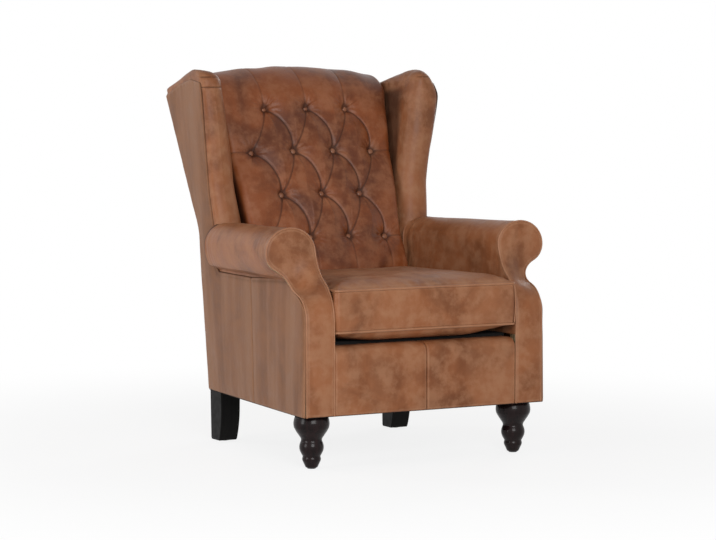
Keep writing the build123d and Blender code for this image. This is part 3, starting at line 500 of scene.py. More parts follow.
def nearest_on(outline: Array, points: Array) -> tuple[Array, Array]:
    """Distance from each point to a closed outline, and the nearest place on it.

    Args:
        outline: Closed line as rows of two coordinates.
        points: Places as rows of two coordinates.

    Returns:
        Distances, and the nearest places as rows.
    """
    block_size = 1500
    start, end = outline, np.roll(outline, -1, axis=0)
    along = end - start
    length = np.maximum((along**2).sum(axis=1), 1e-12)
    distances, places = [], []
    for block in np.array_split(points, max(1, len(points) // block_size)):
        share = ((block[:, None, :] - start[None]) * along[None]).sum(axis=2) / length
        nearest = start[None] + along[None] * np.clip(share, 0, 1)[..., None]
        gaps = np.linalg.norm(block[:, None, :] - nearest, axis=2)
        pick = gaps.argmin(axis=1)
        distances.append(gaps[np.arange(len(block)), pick])
        places.append(nearest[np.arange(len(block)), pick])
    return np.concatenate(distances), np.vstack(places)


def inside(outline: Array, points: Array) -> Array:
    """Whether each point lies inside a closed outline.

    Args:
        outline: Closed line as rows of two coordinates.
        points: Places as rows of two coordinates.

    Returns:
        True for each place inside.
    """
    result = np.zeros(len(points), bool)
    x, y = points[:, 0], points[:, 1]
    for (ax, ay), (bx, by) in zip(outline, np.roll(outline, -1, axis=0)):
        if ay == by:
            continue
        crossing = ((ay > y) != (by > y)) & (x < (bx - ax) * (y - ay) / (by - ay) + ax)
        result ^= crossing
    return result


@dataclass
class Cut:
    """Flat cut of leather, divided finely towards its edges."""

    outline: Array
    spacing: float = 9.0
    edge_step: float = 5.0
    edge_rings: Numbers = (0.45, 1.6, 3.4, 6.0, 10.0)
    seams: Sequence[Array] = ()
    seam_rings: Numbers = (1.1, 2.6, 5.0)
    points: Array = field(init=False)
    triangles: list[Face] = field(init=False)
    distance: Array = field(init=False)
    nearest: Array = field(init=False)
    seam_gaps: Array = field(init=False)

    def __post_init__(self) -> None:
        """Spread points over the cut and join them into triangles."""
        ring = self.edge()
        middle = self.scattered(ring)
        beside = self.beside_seams(ring)
        if len(beside):
            gap = self.gaps_to_seams(middle).min(axis=0)
            middle = middle[gap > self.seam_rings[-1] + self.spacing * 0.35]
        everything = np.vstack([ring, middle, beside])
        made = delaunay_2d_cdt([Vector(p) for p in everything], [], [list(range(len(ring)))],
                               1, 1e-5)
        self.points = np.array([tuple(v) for v in made[0]])
        self.triangles = [tuple(face) for face in made[2]]
        self.distance, self.nearest = nearest_on(ring, self.points)
        self.seam_gaps = self.gaps_to_seams(self.points)

    def edge(self) -> Array:
        """The outline in short steps, running anticlockwise.

        Returns:
            Rows of two coordinates.
        """
        ring = spread(self.outline, self.edge_step)
        area = 0.5 * np.sum(ring[:, 0] * np.roll(ring[:, 1], -1)
                            - np.roll(ring[:, 0], -1) * ring[:, 1])
        return ring[::-1] if area < 0 else ring

    def scattered(self, ring: Array) -> Array:
        """Points in rows inside the edge and over the middle, none too near the edge.

        Args:
            ring: The edge in short steps.

        Returns:
            Rows of two coordinates.
        """
        ring_share, middle_share = 0.93, 0.45
        along = np.roll(ring, -1, axis=0) - np.roll(ring, 1, axis=0)
        along /= np.maximum(np.linalg.norm(along, axis=1), 1e-9)[:, None]
        inward = np.column_stack([-along[:, 1], along[:, 0]])
        candidates = [ring + inward * depth for depth in self.edge_rings]
        limits = [np.full(len(ring), depth * ring_share) for depth in self.edge_rings]
        low, high = ring.min(axis=0), ring.max(axis=0)
        rows = np.arange(low[1], high[1], self.spacing * math.sqrt(3) / 2)
        grid = [(x + (row % 2) * self.spacing / 2, z) for row, z in enumerate(rows)
                for x in np.arange(low[0], high[0] + self.spacing, self.spacing)]
        candidates.append(np.array(grid))
        limits.append(np.full(len(grid), self.edge_rings[-1] + self.spacing * middle_share))
        candidate = np.vstack(candidates)
        limit = np.concatenate(limits)
        kept = inside(ring, candidate)
        candidate, limit = candidate[kept], limit[kept]
        return candidate[nearest_on(ring, candidate)[0] >= limit]

    def beside_seams(self, ring: Array) -> Array:
        """Points along the seams and in rows beside them.

        Args:
            ring: The edge in short steps.

        Returns:
            Rows of two coordinates, none where no seam is given.
        """
        off_edge = 0.15
        stitched = [np.zeros((0, 2))]
        offsets = (0.0, *self.seam_rings, *(-ring_gap for ring_gap in self.seam_rings))
        for seam in self.seams:
            along = np.gradient(seam, axis=0)
            along /= np.linalg.norm(along, axis=1)[:, None]
            across = np.column_stack([-along[:, 1], along[:, 0]])
            stitched += [seam + across * offset for offset in offsets]
        beside = np.vstack(stitched)
        if len(beside):
            beside = beside[inside(ring, beside)]
            beside = beside[nearest_on(ring, beside)[0] > off_edge]
        return beside

    def gaps_to_seams(self, points: Array) -> Array:
        """Distance from each point to each seam across the cut, seam by seam."""
        gaps = [nearest_on(np.vstack([seam, seam[-2:0:-1]]), points)[0] for seam in self.seams]
        return np.array(gaps).reshape(len(gaps), len(points))


def surface_normals(place: Placement, points: Array, outward: float) -> Array:
    """Directions away from a surface at places given in its own coordinates.

    Args:
        place: Turns the surface's own coordinates into x, y, z.
        points: Places in those coordinates.
        outward: 1 or -1, which way the surface faces.

    Returns:
        Unit directions as rows.
    """
    step = 0.5
    first = place(points + [step, 0]) - place(points - [step, 0])
    second = place(points + [0, step]) - place(points - [0, step])
    normals = np.cross(first, second) * outward
    return normals / np.linalg.norm(normals, axis=1)[:, None]


@dataclass
class Panel:
    """Cut of leather laid on a surface over padding, turned down into its seams.

    Attributes:
        cut: The flat cut.
        place: Turns the cut's own coordinates into x, y, z.
        outward: 1 or -1, which way the surface faces.
        turn: Width over which the edge turns down.
        drop: How deep the edge goes into the seam.
        crown: How far the padding lifts the middle.
        crown_reach: Distance from the edge over which the crown builds up.
        uneven: Height of the soft unevenness.
        seed: Picks the unevenness.
        crease: How strongly painted shade darkens its seams.
    """

    cut: Cut
    place: Placement
    outward: float
    turn: float = 7.0
    drop: float = 5.0
    crown: float = 3.0
    crown_reach: float = 45.0
    uneven: float = 0.8
    seed: int = 1
    crease: float = 1.0

    def lift(self) -> Array:
        """Height of each point over the surface.

        Returns:
            One height for each point of the cut.
        """
        distance = self.cut.distance
        edge = self.drop * round_over(1 - np.clip(distance / self.turn, 0, 1))
        crown = self.crown * build_up(distance, self.crown_reach)
        uneven = self.uneven * ripple(self.cut.points, size=150.0, seed=self.seed)
        pull = 0.45 * self.uneven * ripple(self.cut.points * [1.0, 0.35], size=28.0,
                                           seed=self.seed + 50)
        near_edge = bell(distance, centre=14.0, width=16.0)
        return crown - edge + uneven * build_up(distance, reach=25.0) + pull * near_edge

    def mesh(self, shade: Array | float = 0.0) -> Mesh:
        """The panel's mesh.

        Args:
            shade: How much painted shade darkens each point.

        Returns:
            Its points, faces, and its wear and painted light.
        """
        rim_wear_and_highlight = 0.55
        normals = surface_normals(self.place, self.cut.points, self.outward)
        points = self.place(self.cut.points) + normals * self.lift()[:, None]
        distance = self.cut.distance
        # Painted shade along the seams; a lighter rim where the edge turns down, part wear and part
        # painted highlight.
        crease = self.crease * bell(distance, width=1.8)
        shine = rim_wear_and_highlight * bell(distance, centre=self.turn * 0.8, width=self.turn * 0.6)
        faces = self.cut.triangles
        if self.outward < 0:
            faces = turned_over(faces)
        return Mesh(points, faces, shine - crease - shade)


class Finish(Enum):
    """Names of the finishes that pieces are dressed in."""

    LEATHER = "leather"
    # Darker, greyer copy of the leather, with painted shade and sheen for the outside panels.
    SIDE_LEATHER = "side_leather"
    TUFTED = "tufted_leather"
    PIPING = "piping_leather"
    BUTTON = "button_leather"
    TURNED = "turned_leg_finish"
    SABRE = "rear_leg_finish"
    PLASTIC = "glide_plastic"
    STEEL = "steel"
    WOOD = "frame_wood"
    WEBBING = "webbing"
    FOAM = "foam"
    CLOTH = "black_cloth"
    BRASS = "zip_brass"


class Nodes:
    """Small helper that adds and joins shader nodes in one tree."""

    def __init__(self, tree: bpy.types.NodeTree) -> None:
        """Keep the tree that nodes are added to."""
        self.tree = tree

    def feed(self, node: bpy.types.Node, values: dict[str, object]) -> None:
        """Set or join a node's inputs.

        Args:
            node: The node.
            values: Input values or the sockets that feed them, by input name or number.
        """
        for name, value in values.items():
            key = int(name) if name.isdigit() else name
            if isinstance(value, Socket):
                self.tree.links.new(value, node.inputs[key])
            else:
                node.inputs[key].default_value = value

    def add(self, kind: str, values: dict[str, object] | None = None,
            **settings: object) -> bpy.types.Node:
        """Add a node.

        Args:
            kind: Its Blender type.
            values: Input values or the sockets that feed them, by input name or number.
            settings: The node's own properties.

        Returns:
            The new node.
        """
        node = self.tree.nodes.new(kind)
        for name, value in settings.items():
            setattr(node, name, value)
        self.feed(node, values or {})
        return node

    def place(self) -> Socket:
        """Add the object's own coordinates."""
        return self.add("ShaderNodeTexCoord").outputs["Object"]

    def stretch(self, place: object, scale: Triple) -> Socket:
        """Add a Mapping node that scales coordinates."""
        return self.add("ShaderNodeMapping", {"Vector": place, "Scale": scale}).outputs[0]

    def noise(self, place: object, scale: float, **levels: float) -> Socket:
        """Add a Noise node, with its other inputs by name, and return its value."""
        values = {"Vector": place, "Scale": scale} | {key.title(): v for key, v in levels.items()}
        return self.add("ShaderNodeTexNoise", values).outputs["Fac"]

    def bump(self, height: object, strength: float, distance: float) -> Socket:
        """Add a Bump node and return its normal."""
        values = {"Strength": strength, "Distance": distance, "Height": height}
        return self.add("ShaderNodeBump", values).outputs[0]

    def math(self, operation: str, *values: object) -> Socket:
        """Add a Math node and return its output."""
        given = {str(place): value for place, value in enumerate(values)}
        return self.add("ShaderNodeMath", given, operation=operation).outputs[0]

    def times(self, first: object, second: object) -> Socket:
        """Add a product."""
        return self.math("MULTIPLY", first, second)

    def plus(self, first: object, second: object) -> Socket:
        """Add a sum."""
        return self.math("ADD", first, second)

    def mix(self, factor: object, first: object, second: object) -> Socket:
        """Add a colour Mix node and return its colour."""
        return self.add("ShaderNodeMix", {"0": factor, "6": first, "7": second},
                        data_type="RGBA", blend_type="MIX").outputs[2]

    def spread(self, value: object, low: float, high: float, to_low: float = 0.0,
               to_high: float = 1.0) -> Socket:
        """Add a smooth Map Range node and return its output."""
        values = {"0": value, "1": low, "2": high, "3": to_low, "4": to_high}
        return self.add("ShaderNodeMapRange", values, interpolation_type="SMOOTHSTEP").outputs[0]


class HideGroup:
    """Shared leather effect: mottling, streaks, grain, rims lightened by wear and painted
    highlight, and painted shade in creases.
    """

    # Near-black colour that painted shade darkens the leather towards.
    CREASE = (0.02, 0.006, 0.003, 1)
    SOCKETS = (("Tan", "INPUT", "Color"), ("Deep", "INPUT", "Color"), ("Worn", "INPUT", "Color"),
               ("Mottle", "INPUT", "Float"), ("Streaks", "INPUT", "Float"),
               ("Roughness", "INPUT", "Float"), ("Colour", "OUTPUT", "Color"),
               ("Roughness", "OUTPUT", "Float"), ("Height", "OUTPUT", "Float"))

    @classmethod
    @cache
    def tree(cls) -> bpy.types.NodeTree:
        """Build the group, the first time it is asked for.

        Returns:
            The group's node tree.
        """
        tree = bpy.data.node_groups.new("waxed_hide", "ShaderNodeTree")
        for name, way, kind in cls.SOCKETS:
            tree.interface.new_socket(name, in_out=way, socket_type=f"NodeSocket{kind}")
        nodes = Nodes(tree)
        given, result = nodes.add("NodeGroupInput"), nodes.add("NodeGroupOutput")
        place = nodes.place()
        tan, worn, mottle = (given.outputs[name] for name in ("Tan", "Worn", "Mottle"))
        # Per-point attribute: over 0 lighter from wear and painted highlight, under 0 painted
        # shade.
        rub = nodes.add("ShaderNodeAttribute", attribute_name="rub").outputs["Fac"]
        clouds = nodes.noise(place, scale=6.0, detail=5.0, roughness=0.55, distortion=0.5)
        blotches = nodes.noise(place, scale=26.0, detail=5.0, roughness=0.6)
        upright = nodes.stretch(place, (14.0, 14.0, 1.1))
        streaks = nodes.noise(upright, scale=1.0, detail=4.0, roughness=0.55)
        soft = nodes.times(nodes.spread(clouds, 0.36, 0.66), mottle)
        colour = nodes.mix(soft, tan, given.outputs["Deep"])
        light = nodes.times(nodes.spread(blotches, 0.38, 0.68), nodes.times(mottle, 0.5))
        colour = nodes.mix(light, colour, worn)
        run = nodes.times(nodes.spread(streaks, 0.36, 0.64), given.outputs["Streaks"])
        colour = nodes.mix(run, colour, worn)
        # Painted shade: where the attribute is below 0 the colour goes towards the painted shade
        # colour.
        dark = nodes.spread(nodes.times(rub, -1.0), 0.05, 1.0)
        colour = nodes.mix(dark, colour, nodes.mix(0.72, colour, cls.CREASE))
        # Where the attribute is over 0 the colour goes towards the worn colour: part wear, part
        # painted highlight.
        edge = nodes.times(nodes.spread(rub, 0.08, 0.8),
                           nodes.spread(blotches, 0.25, 0.6, to_low=0.25, to_high=0.75))
        colour = nodes.mix(edge, colour, worn)
        pores = nodes.add("ShaderNodeTexVoronoi", {"Vector": place, "Scale": 620.0}, feature="F1")
        fine = nodes.noise(place, scale=240.0, detail=4.0)
        wrinkle = nodes.noise(place, scale=42.0, detail=3.0, distortion=1.2)
        grain = nodes.plus(nodes.times(pores.outputs["Distance"], 0.35), nodes.times(fine, 0.6))
        height = nodes.plus(grain, nodes.times(wrinkle, 1.6))
        rough = nodes.plus(given.outputs["Roughness"],
                           nodes.spread(blotches, 0.3, 0.7, to_low=-0.06, to_high=0.08))
        rough = nodes.plus(rough, nodes.times(dark, 0.2))
        nodes.feed(result, {"Colour": colour, "Roughness": rough, "Height": height})
        return tree


@dataclass(frozen=True)
class HideFinish:
    """Waxed, slightly pulled-up leather.

    Attributes:
        name: The finish's name.
        tan: Main colour.
        deep: Colour of its darker clouds.
        worn: Colour where it is rubbed or pulled, also used for painted highlight and sheen.
        mottle: Strength of the clouds.
        roughness: Mean roughness.
        streaks: Strength of the upright streaks.
        shine: Strength of its reflection.
    """

    name: Finish
    tan: Triple
    deep: Triple
    worn: Triple
    mottle: float
    roughness: float
    streaks: float = 0.0
    shine: float = 0.34

    def material(self) -> bpy.types.Material:
        """Build the material.

        Returns:
            The material.
        """
        made, nodes, shader = new_material(self.name.value)
        group = nodes.add("ShaderNodeGroup", {
            "Tan": (*self.tan, 1), "Deep": (*self.deep, 1), "Worn": (*self.worn, 1),
            "Mottle": self.mottle, "Streaks": self.streaks, "Roughness": self.roughness,
        }, node_tree=HideGroup.tree())
        nodes.feed(shader, {
            "Base Color": group.outputs["Colour"],
            "Roughness": group.outputs["Roughness"],
            "Normal": nodes.bump(group.outputs["Height"], strength=0.55, distance=0.0007),
            "Specular IOR Level": self.shine,
        })
        return made


def new_material(name: str) -> tuple[bpy.types.Material, Nodes, bpy.types.Node]:
    """Start a material with its surface shader.

    Args:
        name: The material's name.

    Returns:
        The material, its node helper and its Principled shader.
    """
    made = bpy.data.materials.new(name)
    made.use_nodes = True
    return made, Nodes(made.node_tree), made.node_tree.nodes["Principled BSDF"]


@dataclass(frozen=True)
class TimberFinish:
    """Wood, bare or lacquered."""

    name: Finish
    light: Triple
    dark: Triple
    roughness: float
    coat: float = 0.0

    def material(self) -> bpy.types.Material:
        """Build the material.

        Returns:
            The material.
        """
        made, nodes, shader = new_material(self.name.value)
        place = nodes.place()
        grain = nodes.noise(nodes.stretch(place, (90.0, 90.0, 6.0)), scale=1.0, detail=6.0,
                            distortion=0.8)
        dust = nodes.noise(place, scale=60.0, detail=4.0)
        nodes.feed(shader, {
            "Base Color": nodes.mix(nodes.spread(grain, 0.3, 0.7), (*self.dark, 1),
                                    (*self.light, 1)),
            "Roughness": nodes.spread(dust, 0.3, 0.7, self.roughness - 0.05,
                                      self.roughness + 0.07),
            "Normal": nodes.bump(grain, strength=0.25, distance=0.0003),
            "Specular IOR Level": 0.09,
            "Coat Weight": self.coat,
            "Coat Roughness": 0.1,
        })
        return made


@dataclass(frozen=True)
class WovenFinish:
    """Woven or porous textile: cloth, webbing or foam."""

    name: Finish
    light: Triple
    dark: Triple
    threads: float
    depth: float = 0.0004

    def material(self) -> bpy.types.Material:
        """Build the material.

        Returns:
            The material.
        """
        made, nodes, shader = new_material(self.name.value)
        place = nodes.place()
        values = {"Vector": place, "Scale": self.threads / 6.28, "Distortion": 0.6}
        along, across = (nodes.add("ShaderNodeTexWave", values, bands_direction=way).outputs["Fac"]
                         for way in ("X", "Y"))
        weave = nodes.times(along, across)
        cloud = nodes.noise(place, scale=40.0, detail=5.0)
        share = nodes.times(nodes.spread(weave, 0.0, 1.0, to_low=0.35),
                            nodes.spread(cloud, 0.3, 0.7, to_low=0.75))
        nodes.feed(shader, {
            "Base Color": nodes.mix(share, (*self.dark, 1), (*self.light, 1)),
            "Normal": nodes.bump(weave, strength=0.6, distance=self.depth),
            "Roughness": 0.9,
            "Specular IOR Level": 0.2,
        })
        return made


@dataclass(frozen=True)
class HardFinish:
    """Metal or moulded plastic with faint marks."""

    name: Finish
    colour: Triple
    metallic: float
    roughness: float

    def material(self) -> bpy.types.Material:
        """Build the material.

        Returns:
            The material.
        """
        made, nodes, shader = new_material(self.name.value)
        marks = nodes.noise(nodes.place(), scale=300.0, detail=5.0)
        dull = tuple(channel * 0.6 for channel in self.colour)
        nodes.feed(shader, {
            "Base Color": nodes.mix(nodes.spread(marks, 0.3, 0.7, to_high=0.3),
                                    (*self.colour, 1), (*dull, 1)),
            "Roughness": nodes.spread(marks, 0.3, 0.7, self.roughness - 0.06,
                                      self.roughness + 0.1),
            "Normal": nodes.bump(marks, strength=0.2, distance=0.0001),
            "Metallic": self.metallic,
        })
        return made


FINISHES = (
    HideFinish(Finish.LEATHER, tan=(0.280, 0.099, 0.038), deep=(0.145, 0.045, 0.015),
               worn=(0.39, 0.195, 0.105), mottle=0.95, streaks=0.15, roughness=0.45, shine=0.22),
    # Outside panels: a darker, less saturated copy of the main leather, painting their shade and
    # grey sheen into the colour.
    HideFinish(Finish.SIDE_LEATHER, tan=(0.200, 0.080, 0.033), deep=(0.137, 0.052, 0.019),
               worn=(0.29, 0.145, 0.080), mottle=0.7, streaks=0.65, roughness=0.47, shine=0.18),
    HideFinish(Finish.TUFTED, tan=(0.228, 0.061, 0.017), deep=(0.108, 0.027, 0.008),
               worn=(0.33, 0.135, 0.066), mottle=1.0, roughness=0.40, shine=0.25),
    HideFinish(Finish.PIPING, tan=(0.33, 0.145, 0.070), deep=(0.22, 0.085, 0.040),
               worn=(0.48, 0.26, 0.15), mottle=0.5, roughness=0.45),
    HideFinish(Finish.BUTTON, tan=(0.23, 0.078, 0.032), deep=(0.14, 0.043, 0.018),
               worn=(0.42, 0.21, 0.12), mottle=0.5, roughness=0.36),
    TimberFinish(Finish.TURNED, light=(0.015, 0.006, 0.006), dark=(0.006, 0.003, 0.003),
                 roughness=0.28, coat=0.14),
    TimberFinish(Finish.SABRE, light=(0.006, 0.0055, 0.005), dark=(0.003, 0.0025, 0.0025),
                 roughness=0.45),
    TimberFinish(Finish.WOOD, light=(0.52, 0.36, 0.20), dark=(0.36, 0.22, 0.11), roughness=0.65),
    WovenFinish(Finish.WEBBING, light=(0.56, 0.52, 0.44), dark=(0.30, 0.27, 0.22), threads=900.0),
    WovenFinish(Finish.FOAM, light=(0.78, 0.72, 0.50), dark=(0.62, 0.56, 0.36), threads=1300.0,
                depth=0.0002),
    WovenFinish(Finish.CLOTH, light=(0.020, 0.019, 0.019), dark=(0.006, 0.006, 0.006),
                threads=1500.0),
    HardFinish(Finish.PLASTIC, colour=(0.03, 0.03, 0.03), metallic=0.0, roughness=0.45),
    HardFinish(Finish.STEEL, colour=(0.55, 0.55, 0.56), metallic=1.0, roughness=0.35),
    HardFinish(Finish.BRASS, colour=(0.62, 0.45, 0.20), metallic=1.0, roughness=0.3),
)


class Wardrobe:
    """Holds each finish's material, and makes pieces dressed in them."""

    def __init__(self) -> None:
        """Build every material once."""
        self.materials = {finish.name: finish.material() for finish in FINISHES}
        self.slots = {entry["slot"] for entry in frame["record"]["materials"]}

    def make(self, name: str, mesh: Mesh, finish: Finish, replaced: Sequence[str] = (), *,
             body: str = FRAME_BODY, side: Side = Side.RIGHT, smooth: bool = True,
             weld: float = 0.0) -> Piece:
        """Make a piece with its material, its body and the nodes that it stands for.

        Args:
            name: The piece's name.
            mesh: Its points in the maker's millimetres, with its faces.
            finish: Its finish.
            replaced: Construction nodes that it replaces.
            body: The body that it rides on.
            side: LEFT mirrors the piece to the other side.
            smooth: Whether its faces are shaded smooth.
            weld: Points nearer than this many millimetres are joined.

        Returns:
            The piece.
        """
        points = np.array(mesh.points, float)
        faces = mesh.faces
        if side is Side.LEFT:
            points[:, 0] *= -1.0
            faces = turned_over(faces)
        data = bpy.data.meshes.new(name)
        data.from_pydata(to_row(points).tolist(), [], faces)
        # Each point's wear and painted light is stored as an attribute that the leather shader
        # reads.
        rub = np.zeros(len(points)) if mesh.rub is None else np.asarray(mesh.rub, float)
        data.attributes.new("rub", "FLOAT", "POINT").data.foreach_set("value", rub)
        if weld:
            working = bmesh.new()
            working.from_mesh(data)
            bmesh.ops.remove_doubles(working, verts=working.verts, dist=weld * MM)
            bmesh.ops.recalc_face_normals(working, faces=working.faces)
            working.to_mesh(data)
            working.free()
        data.polygons.foreach_set("use_smooth", [smooth] * len(data.polygons))
        data.materials.append(self.materials[finish])
        data.update()
        piece = bpy.data.objects.new(name, data)
        bpy.context.scene.collection.objects.link(piece)
        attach(piece, body)
        if replaced:
            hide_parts(*replaced)
        LOG.info("%s: %d points", piece.name, len(piece.data.vertices))
        return piece

    def repaint(self, finish: Finish, *nodes: str) -> None:
        """Give construction nodes that stay their material.

        Args:
            finish: Their finish.
            nodes: Names of the nodes.
        """
        for carried in (frame["nodes"][node] for node in nodes):
            if not carried.material_slots:
                carried.data.materials.append(self.materials[finish])
            for slot in carried.material_slots:
                slot.material = self.materials[finish]


@dataclass
class ArmFront:
    """Leather facing on the scroll-shaped front of an arm, edged with piping."""

    wardrobe: Wardrobe
    side: Side
    lower_half: float = 369.0
    knee_heights: Pair = (400.0, 445.0)
    scroll_foot_z: float = 485.0
    piping_radius: float = 2.6
    piping_inset: float = 1.2
    pad_share: float = 1 - 6.0 / 180.0
    pad_depths: Pair = (5.0, 11.0)

    def outline(self) -> Array:
        """Front view of the facing in x and z.

        Returns:
            Rows of x and z.
        """
        inner_x = FRONT_ROLL.x - FRONT_ROLL.radius
        lower = [(inner_x, SHELL.base_z), (self.lower_half, SHELL.base_z)]
        knee = [(self.lower_half, height) for height in self.knee_heights]
        return np.vstack([lower, knee, FRONT_ROLL.line(self.scroll_foot_z)])

    def place(self, points: Array) -> Array:
        """Place on the ogee surface of a point of the front view."""
        x, z = points[:, 0], points[:, 1]
        return np.column_stack([x + arm_lean(self.side, z), front_depth(x, z), z])

    def build(self) -> None:
        """Make the facing, its padding and its piping."""
        outline = self.outline()
        word = self.side.word
        make = self.wardrobe.make
        panel = Panel(Cut(outline), self.place, 1.0, turn=6.0, drop=3.5, crown=4.0,
                      crown_reach=26.0, uneven=0.6, seed=3 + self.side.value)
        make(f"arm_front_{word}", panel.mesh(), Finish.LEATHER, [f"arm_facing_{word}"],
             side=self.side)
        pad = make(f"arm_front_pad_{word}", self.pad_mesh(), Finish.FOAM,
                   [f"arm_facing_pad_{word}"], side=self.side)
        line = spread(np.vstack([outline[1:], outline[:1]]), 5.0, closed=False)
        inset = self.place(line) + np.array([0.0, self.piping_inset, 0.0])
        make(f"arm_front_piping_{word}", tube(inset, self.piping_radius), Finish.PIPING,
             side=self.side)

    def pad_mesh(self) -> Mesh:
        """Padding behind the facing, clear of the leather.

        Returns:
            Its points and faces.
        """
        ring = spread(self.outline(), 12.0)
        centre = ring.mean(axis=0)
        inner = Cut(centre + (ring - centre) * self.pad_share, spacing=22.0, edge_step=12.0,
                    edge_rings=(4.0,))
        skins = [self.place(inner.points) + np.array([0.0, depth, 0.0])
                 for depth in self.pad_depths]
        return Mesh(np.vstack(skins), two_skins(inner.triangles, len(inner.points)))


@dataclass
class Arm:
    """Upholstered arm: a roll that swells behind its facing, its rear end and its inner wall."""

    wardrobe: Wardrobe
    side: Side
    end_y: float = 574.0
    foot_z: float = 472.0
    deck_z: float = 338.0
    stations: int = 120
    steps: int = 14
    wall_steps: int = 34
    swell: float = 70.0
    sags: Pair = (1.12, 1.40)
    full_starts: Pair = (-79.0, -69.0)
    end_dome: float = 20.0
    end_angles: Numbers = (-80, -50, -35, -10, 15, 40, 70, 90, 120, 180)
    end_depths: Numbers = (605, 613, 612, 608, 605, 602, 598, 592, 584, 576)
    tuck: Pair = (518.0, 16.0)
    foot_gap: float = 2.0

    def scroll_section(self, roll: Roll) -> Array:
        """Section just behind the facing, from the foot of the neck to the deck."""
        return np.vstack([roll.line(self.foot_z, steps=self.steps), self.wall(roll)])

    def wall(self, roll: Roll) -> Array:
        """Inner side of the arm below the roll, down to the deck."""
        heights = np.linspace(roll.z - 8.0, self.deck_z, self.wall_steps)
        return np.column_stack([np.full(len(heights), roll.x - roll.radius), heights])

    def full_section(self, roll: Roll, start: float, sag: float) -> tuple[Array, Array]:
        """Section where the roll is full, point for point like the scroll's.

        Args:
            roll: The roll.
            start: Angle in degrees at which its underside meets the side of the chair.
            sag: How much deeper the underside hangs than a round roll's.

        Returns:
            Rows of x and z, and the angle of each point round the roll.
        """
        begin = math.radians(start)
        angles = np.concatenate([np.linspace(begin, begin / 2, self.steps)[:-1],
                                 np.linspace(begin / 2, 0.0, self.steps)[:-1],
                                 np.linspace(0.0, math.pi, 2 * self.steps)])
        x = roll.x + roll.radius * np.cos(angles)
        z = roll.z + roll.radius * np.where(angles < 0, sag, roll.flat_top) * np.sin(angles)
        foot = blend_value(self.foot_z, z[0], np.linspace(0.0, 1.0, NECK_POINTS, endpoint=False))
        foot_line = np.column_stack([np.full(NECK_POINTS, x[0] - 3.0), foot])
        section = np.vstack([foot_line, np.column_stack([x, z]), self.wall(roll)])
        turned = np.concatenate([np.full(NECK_POINTS, start), np.degrees(angles),
                                 np.full(self.wall_steps, 180.0)])
        return section, turned

    def grid(self) -> tuple[Array, Array, Array]:
        """Points of the arm's padding over rows from front to rear.

        Returns:
            The points, and each one's distance from the front and from the rear end.
        """
        rolls = (FRONT_ROLL, REAR_ROLL)
        scrolls = [self.scroll_section(roll) for roll in rolls]
        (front_full, _), (rear_full, angles) = (
            self.full_section(*given) for given in zip(rolls, self.full_starts, self.sags))
        front = front_depth(scrolls[0][:, 0], scrolls[0][:, 1]) + 3.0
        rear = np.interp(angles, self.end_angles, self.end_depths)
        rows, from_front, from_rear = [], [], []
        for turn in np.linspace(0.0, math.pi, self.stations):
            y = blend_value(front, rear, 0.5 - 0.5 * math.cos(turn))
            reach = np.maximum((y - SWEEP.run) / (self.end_y - SWEEP.run), 0.0)[:, None]
            share = build_up(y - front, self.swell)[:, None]
            x, z = blend_value(blend_value(*scrolls, reach),
                               blend_value(front_full, rear_full, reach), share).T
            plane = SHELL.side_half(y, z) - self.foot_gap
            near_end = 1 - np.clip((rear - y) / self.end_dome, 0, 1)
            dome = np.sqrt(1 - near_end**2)
            outside = x > FRONT_ROLL.x - 40.0
            foot = ease((self.tuck[0] - z) / self.tuck[1]) * outside
            x = np.where(x > plane, plane + (x - plane) * dome, x)
            x = x - np.maximum(x - plane + self.foot_gap, 0.0) * foot
            x = x + arm_lean(self.side, z) * dome
            rows.append(np.column_stack([x, y, z]))
            from_front.append(y - front)
            from_rear.append(rear - y)
        return np.array(rows), np.array(from_front), np.array(from_rear)

    def rub(self, x: Array, from_front: Array, from_rear: Array) -> Array:
        """Lighter rims at both ends of the roll, part wear and part painted highlight, with painted
        shade in its seams.

        Args:
            x: How far out each point is.
            from_front: Its distance from the front.
            from_rear: Its distance from the rear end.

        Returns:
            Wear and painted highlight of each point, below 0 where painted shade darkens it.
        """
        # Lighter bands behind the facing and ahead of the rear end are part wear and part painted
        # highlight; the seam behind the facing has painted shade, and the outer side's last 20 mm a
        # painted shadow where the roll meets the side.
        outer = x > 330.0
        ring = bell(np.maximum(from_rear - 20.0, 0.0), width=3.0) * outer
        return (0.5 * bell(from_front, centre=6.0, width=6.0) - bell(from_front, width=2.2)
                + 0.35 * bell(from_rear, centre=34.0, width=16.0) - 1.6 * ring)

    def mesh(self) -> Mesh:
        """The arm's skin, closed at its rear end.

        Returns:
            Its points, faces, and its wear and painted light.
        """
        points, from_front, from_rear = self.grid()
        flat = points.reshape(-1, 3)
        seed = 11 + self.side.value
        soft = ripple(flat, size=170.0, seed=seed).reshape(from_front.shape)
        pulls = ripple(flat * [0.4, 2.4, 0.4], size=44.0, seed=seed + 5).reshape(from_front.shape)
        near_end = np.exp(-from_rear / 60.0) + 0.6 * np.exp(-from_front / 45.0)
        lift = 1.6 * soft * np.clip(from_front / 30, 0, 1) + 1.3 * pulls * near_end
        lift -= 3.0 * round_over(np.clip(1 - from_front / 6.0, 0, 1))
        lift *= np.clip(from_rear / 12.0, 0, 1)
        points = points + grid_normals(points) * lift[..., None]
        rub = self.rub(points[..., 0], from_front, from_rear)
        rows, columns = rub.shape
        skin = points.reshape(-1, 3)
        hub = len(skin)
        last = hub - columns
        faces = grid_faces(rows, columns)
        faces += [(last + k, last + k + 1, hub) for k in range(columns - 1)]
        faces.append((hub - 1, last, hub))
        return Mesh(np.vstack([skin, skin[last:].mean(axis=0)]), faces,
                    np.append(rub.reshape(-1), 0.0))

    def build(self) -> None:
        """Make the arm's leather over its padding."""
        word = self.side.word
        arm = self.wardrobe.make(f"arm_{word}", self.mesh(), Finish.LEATHER,
                                 [f"arm_cover_{word}", f"arm_foam_{word}"], side=self.side)


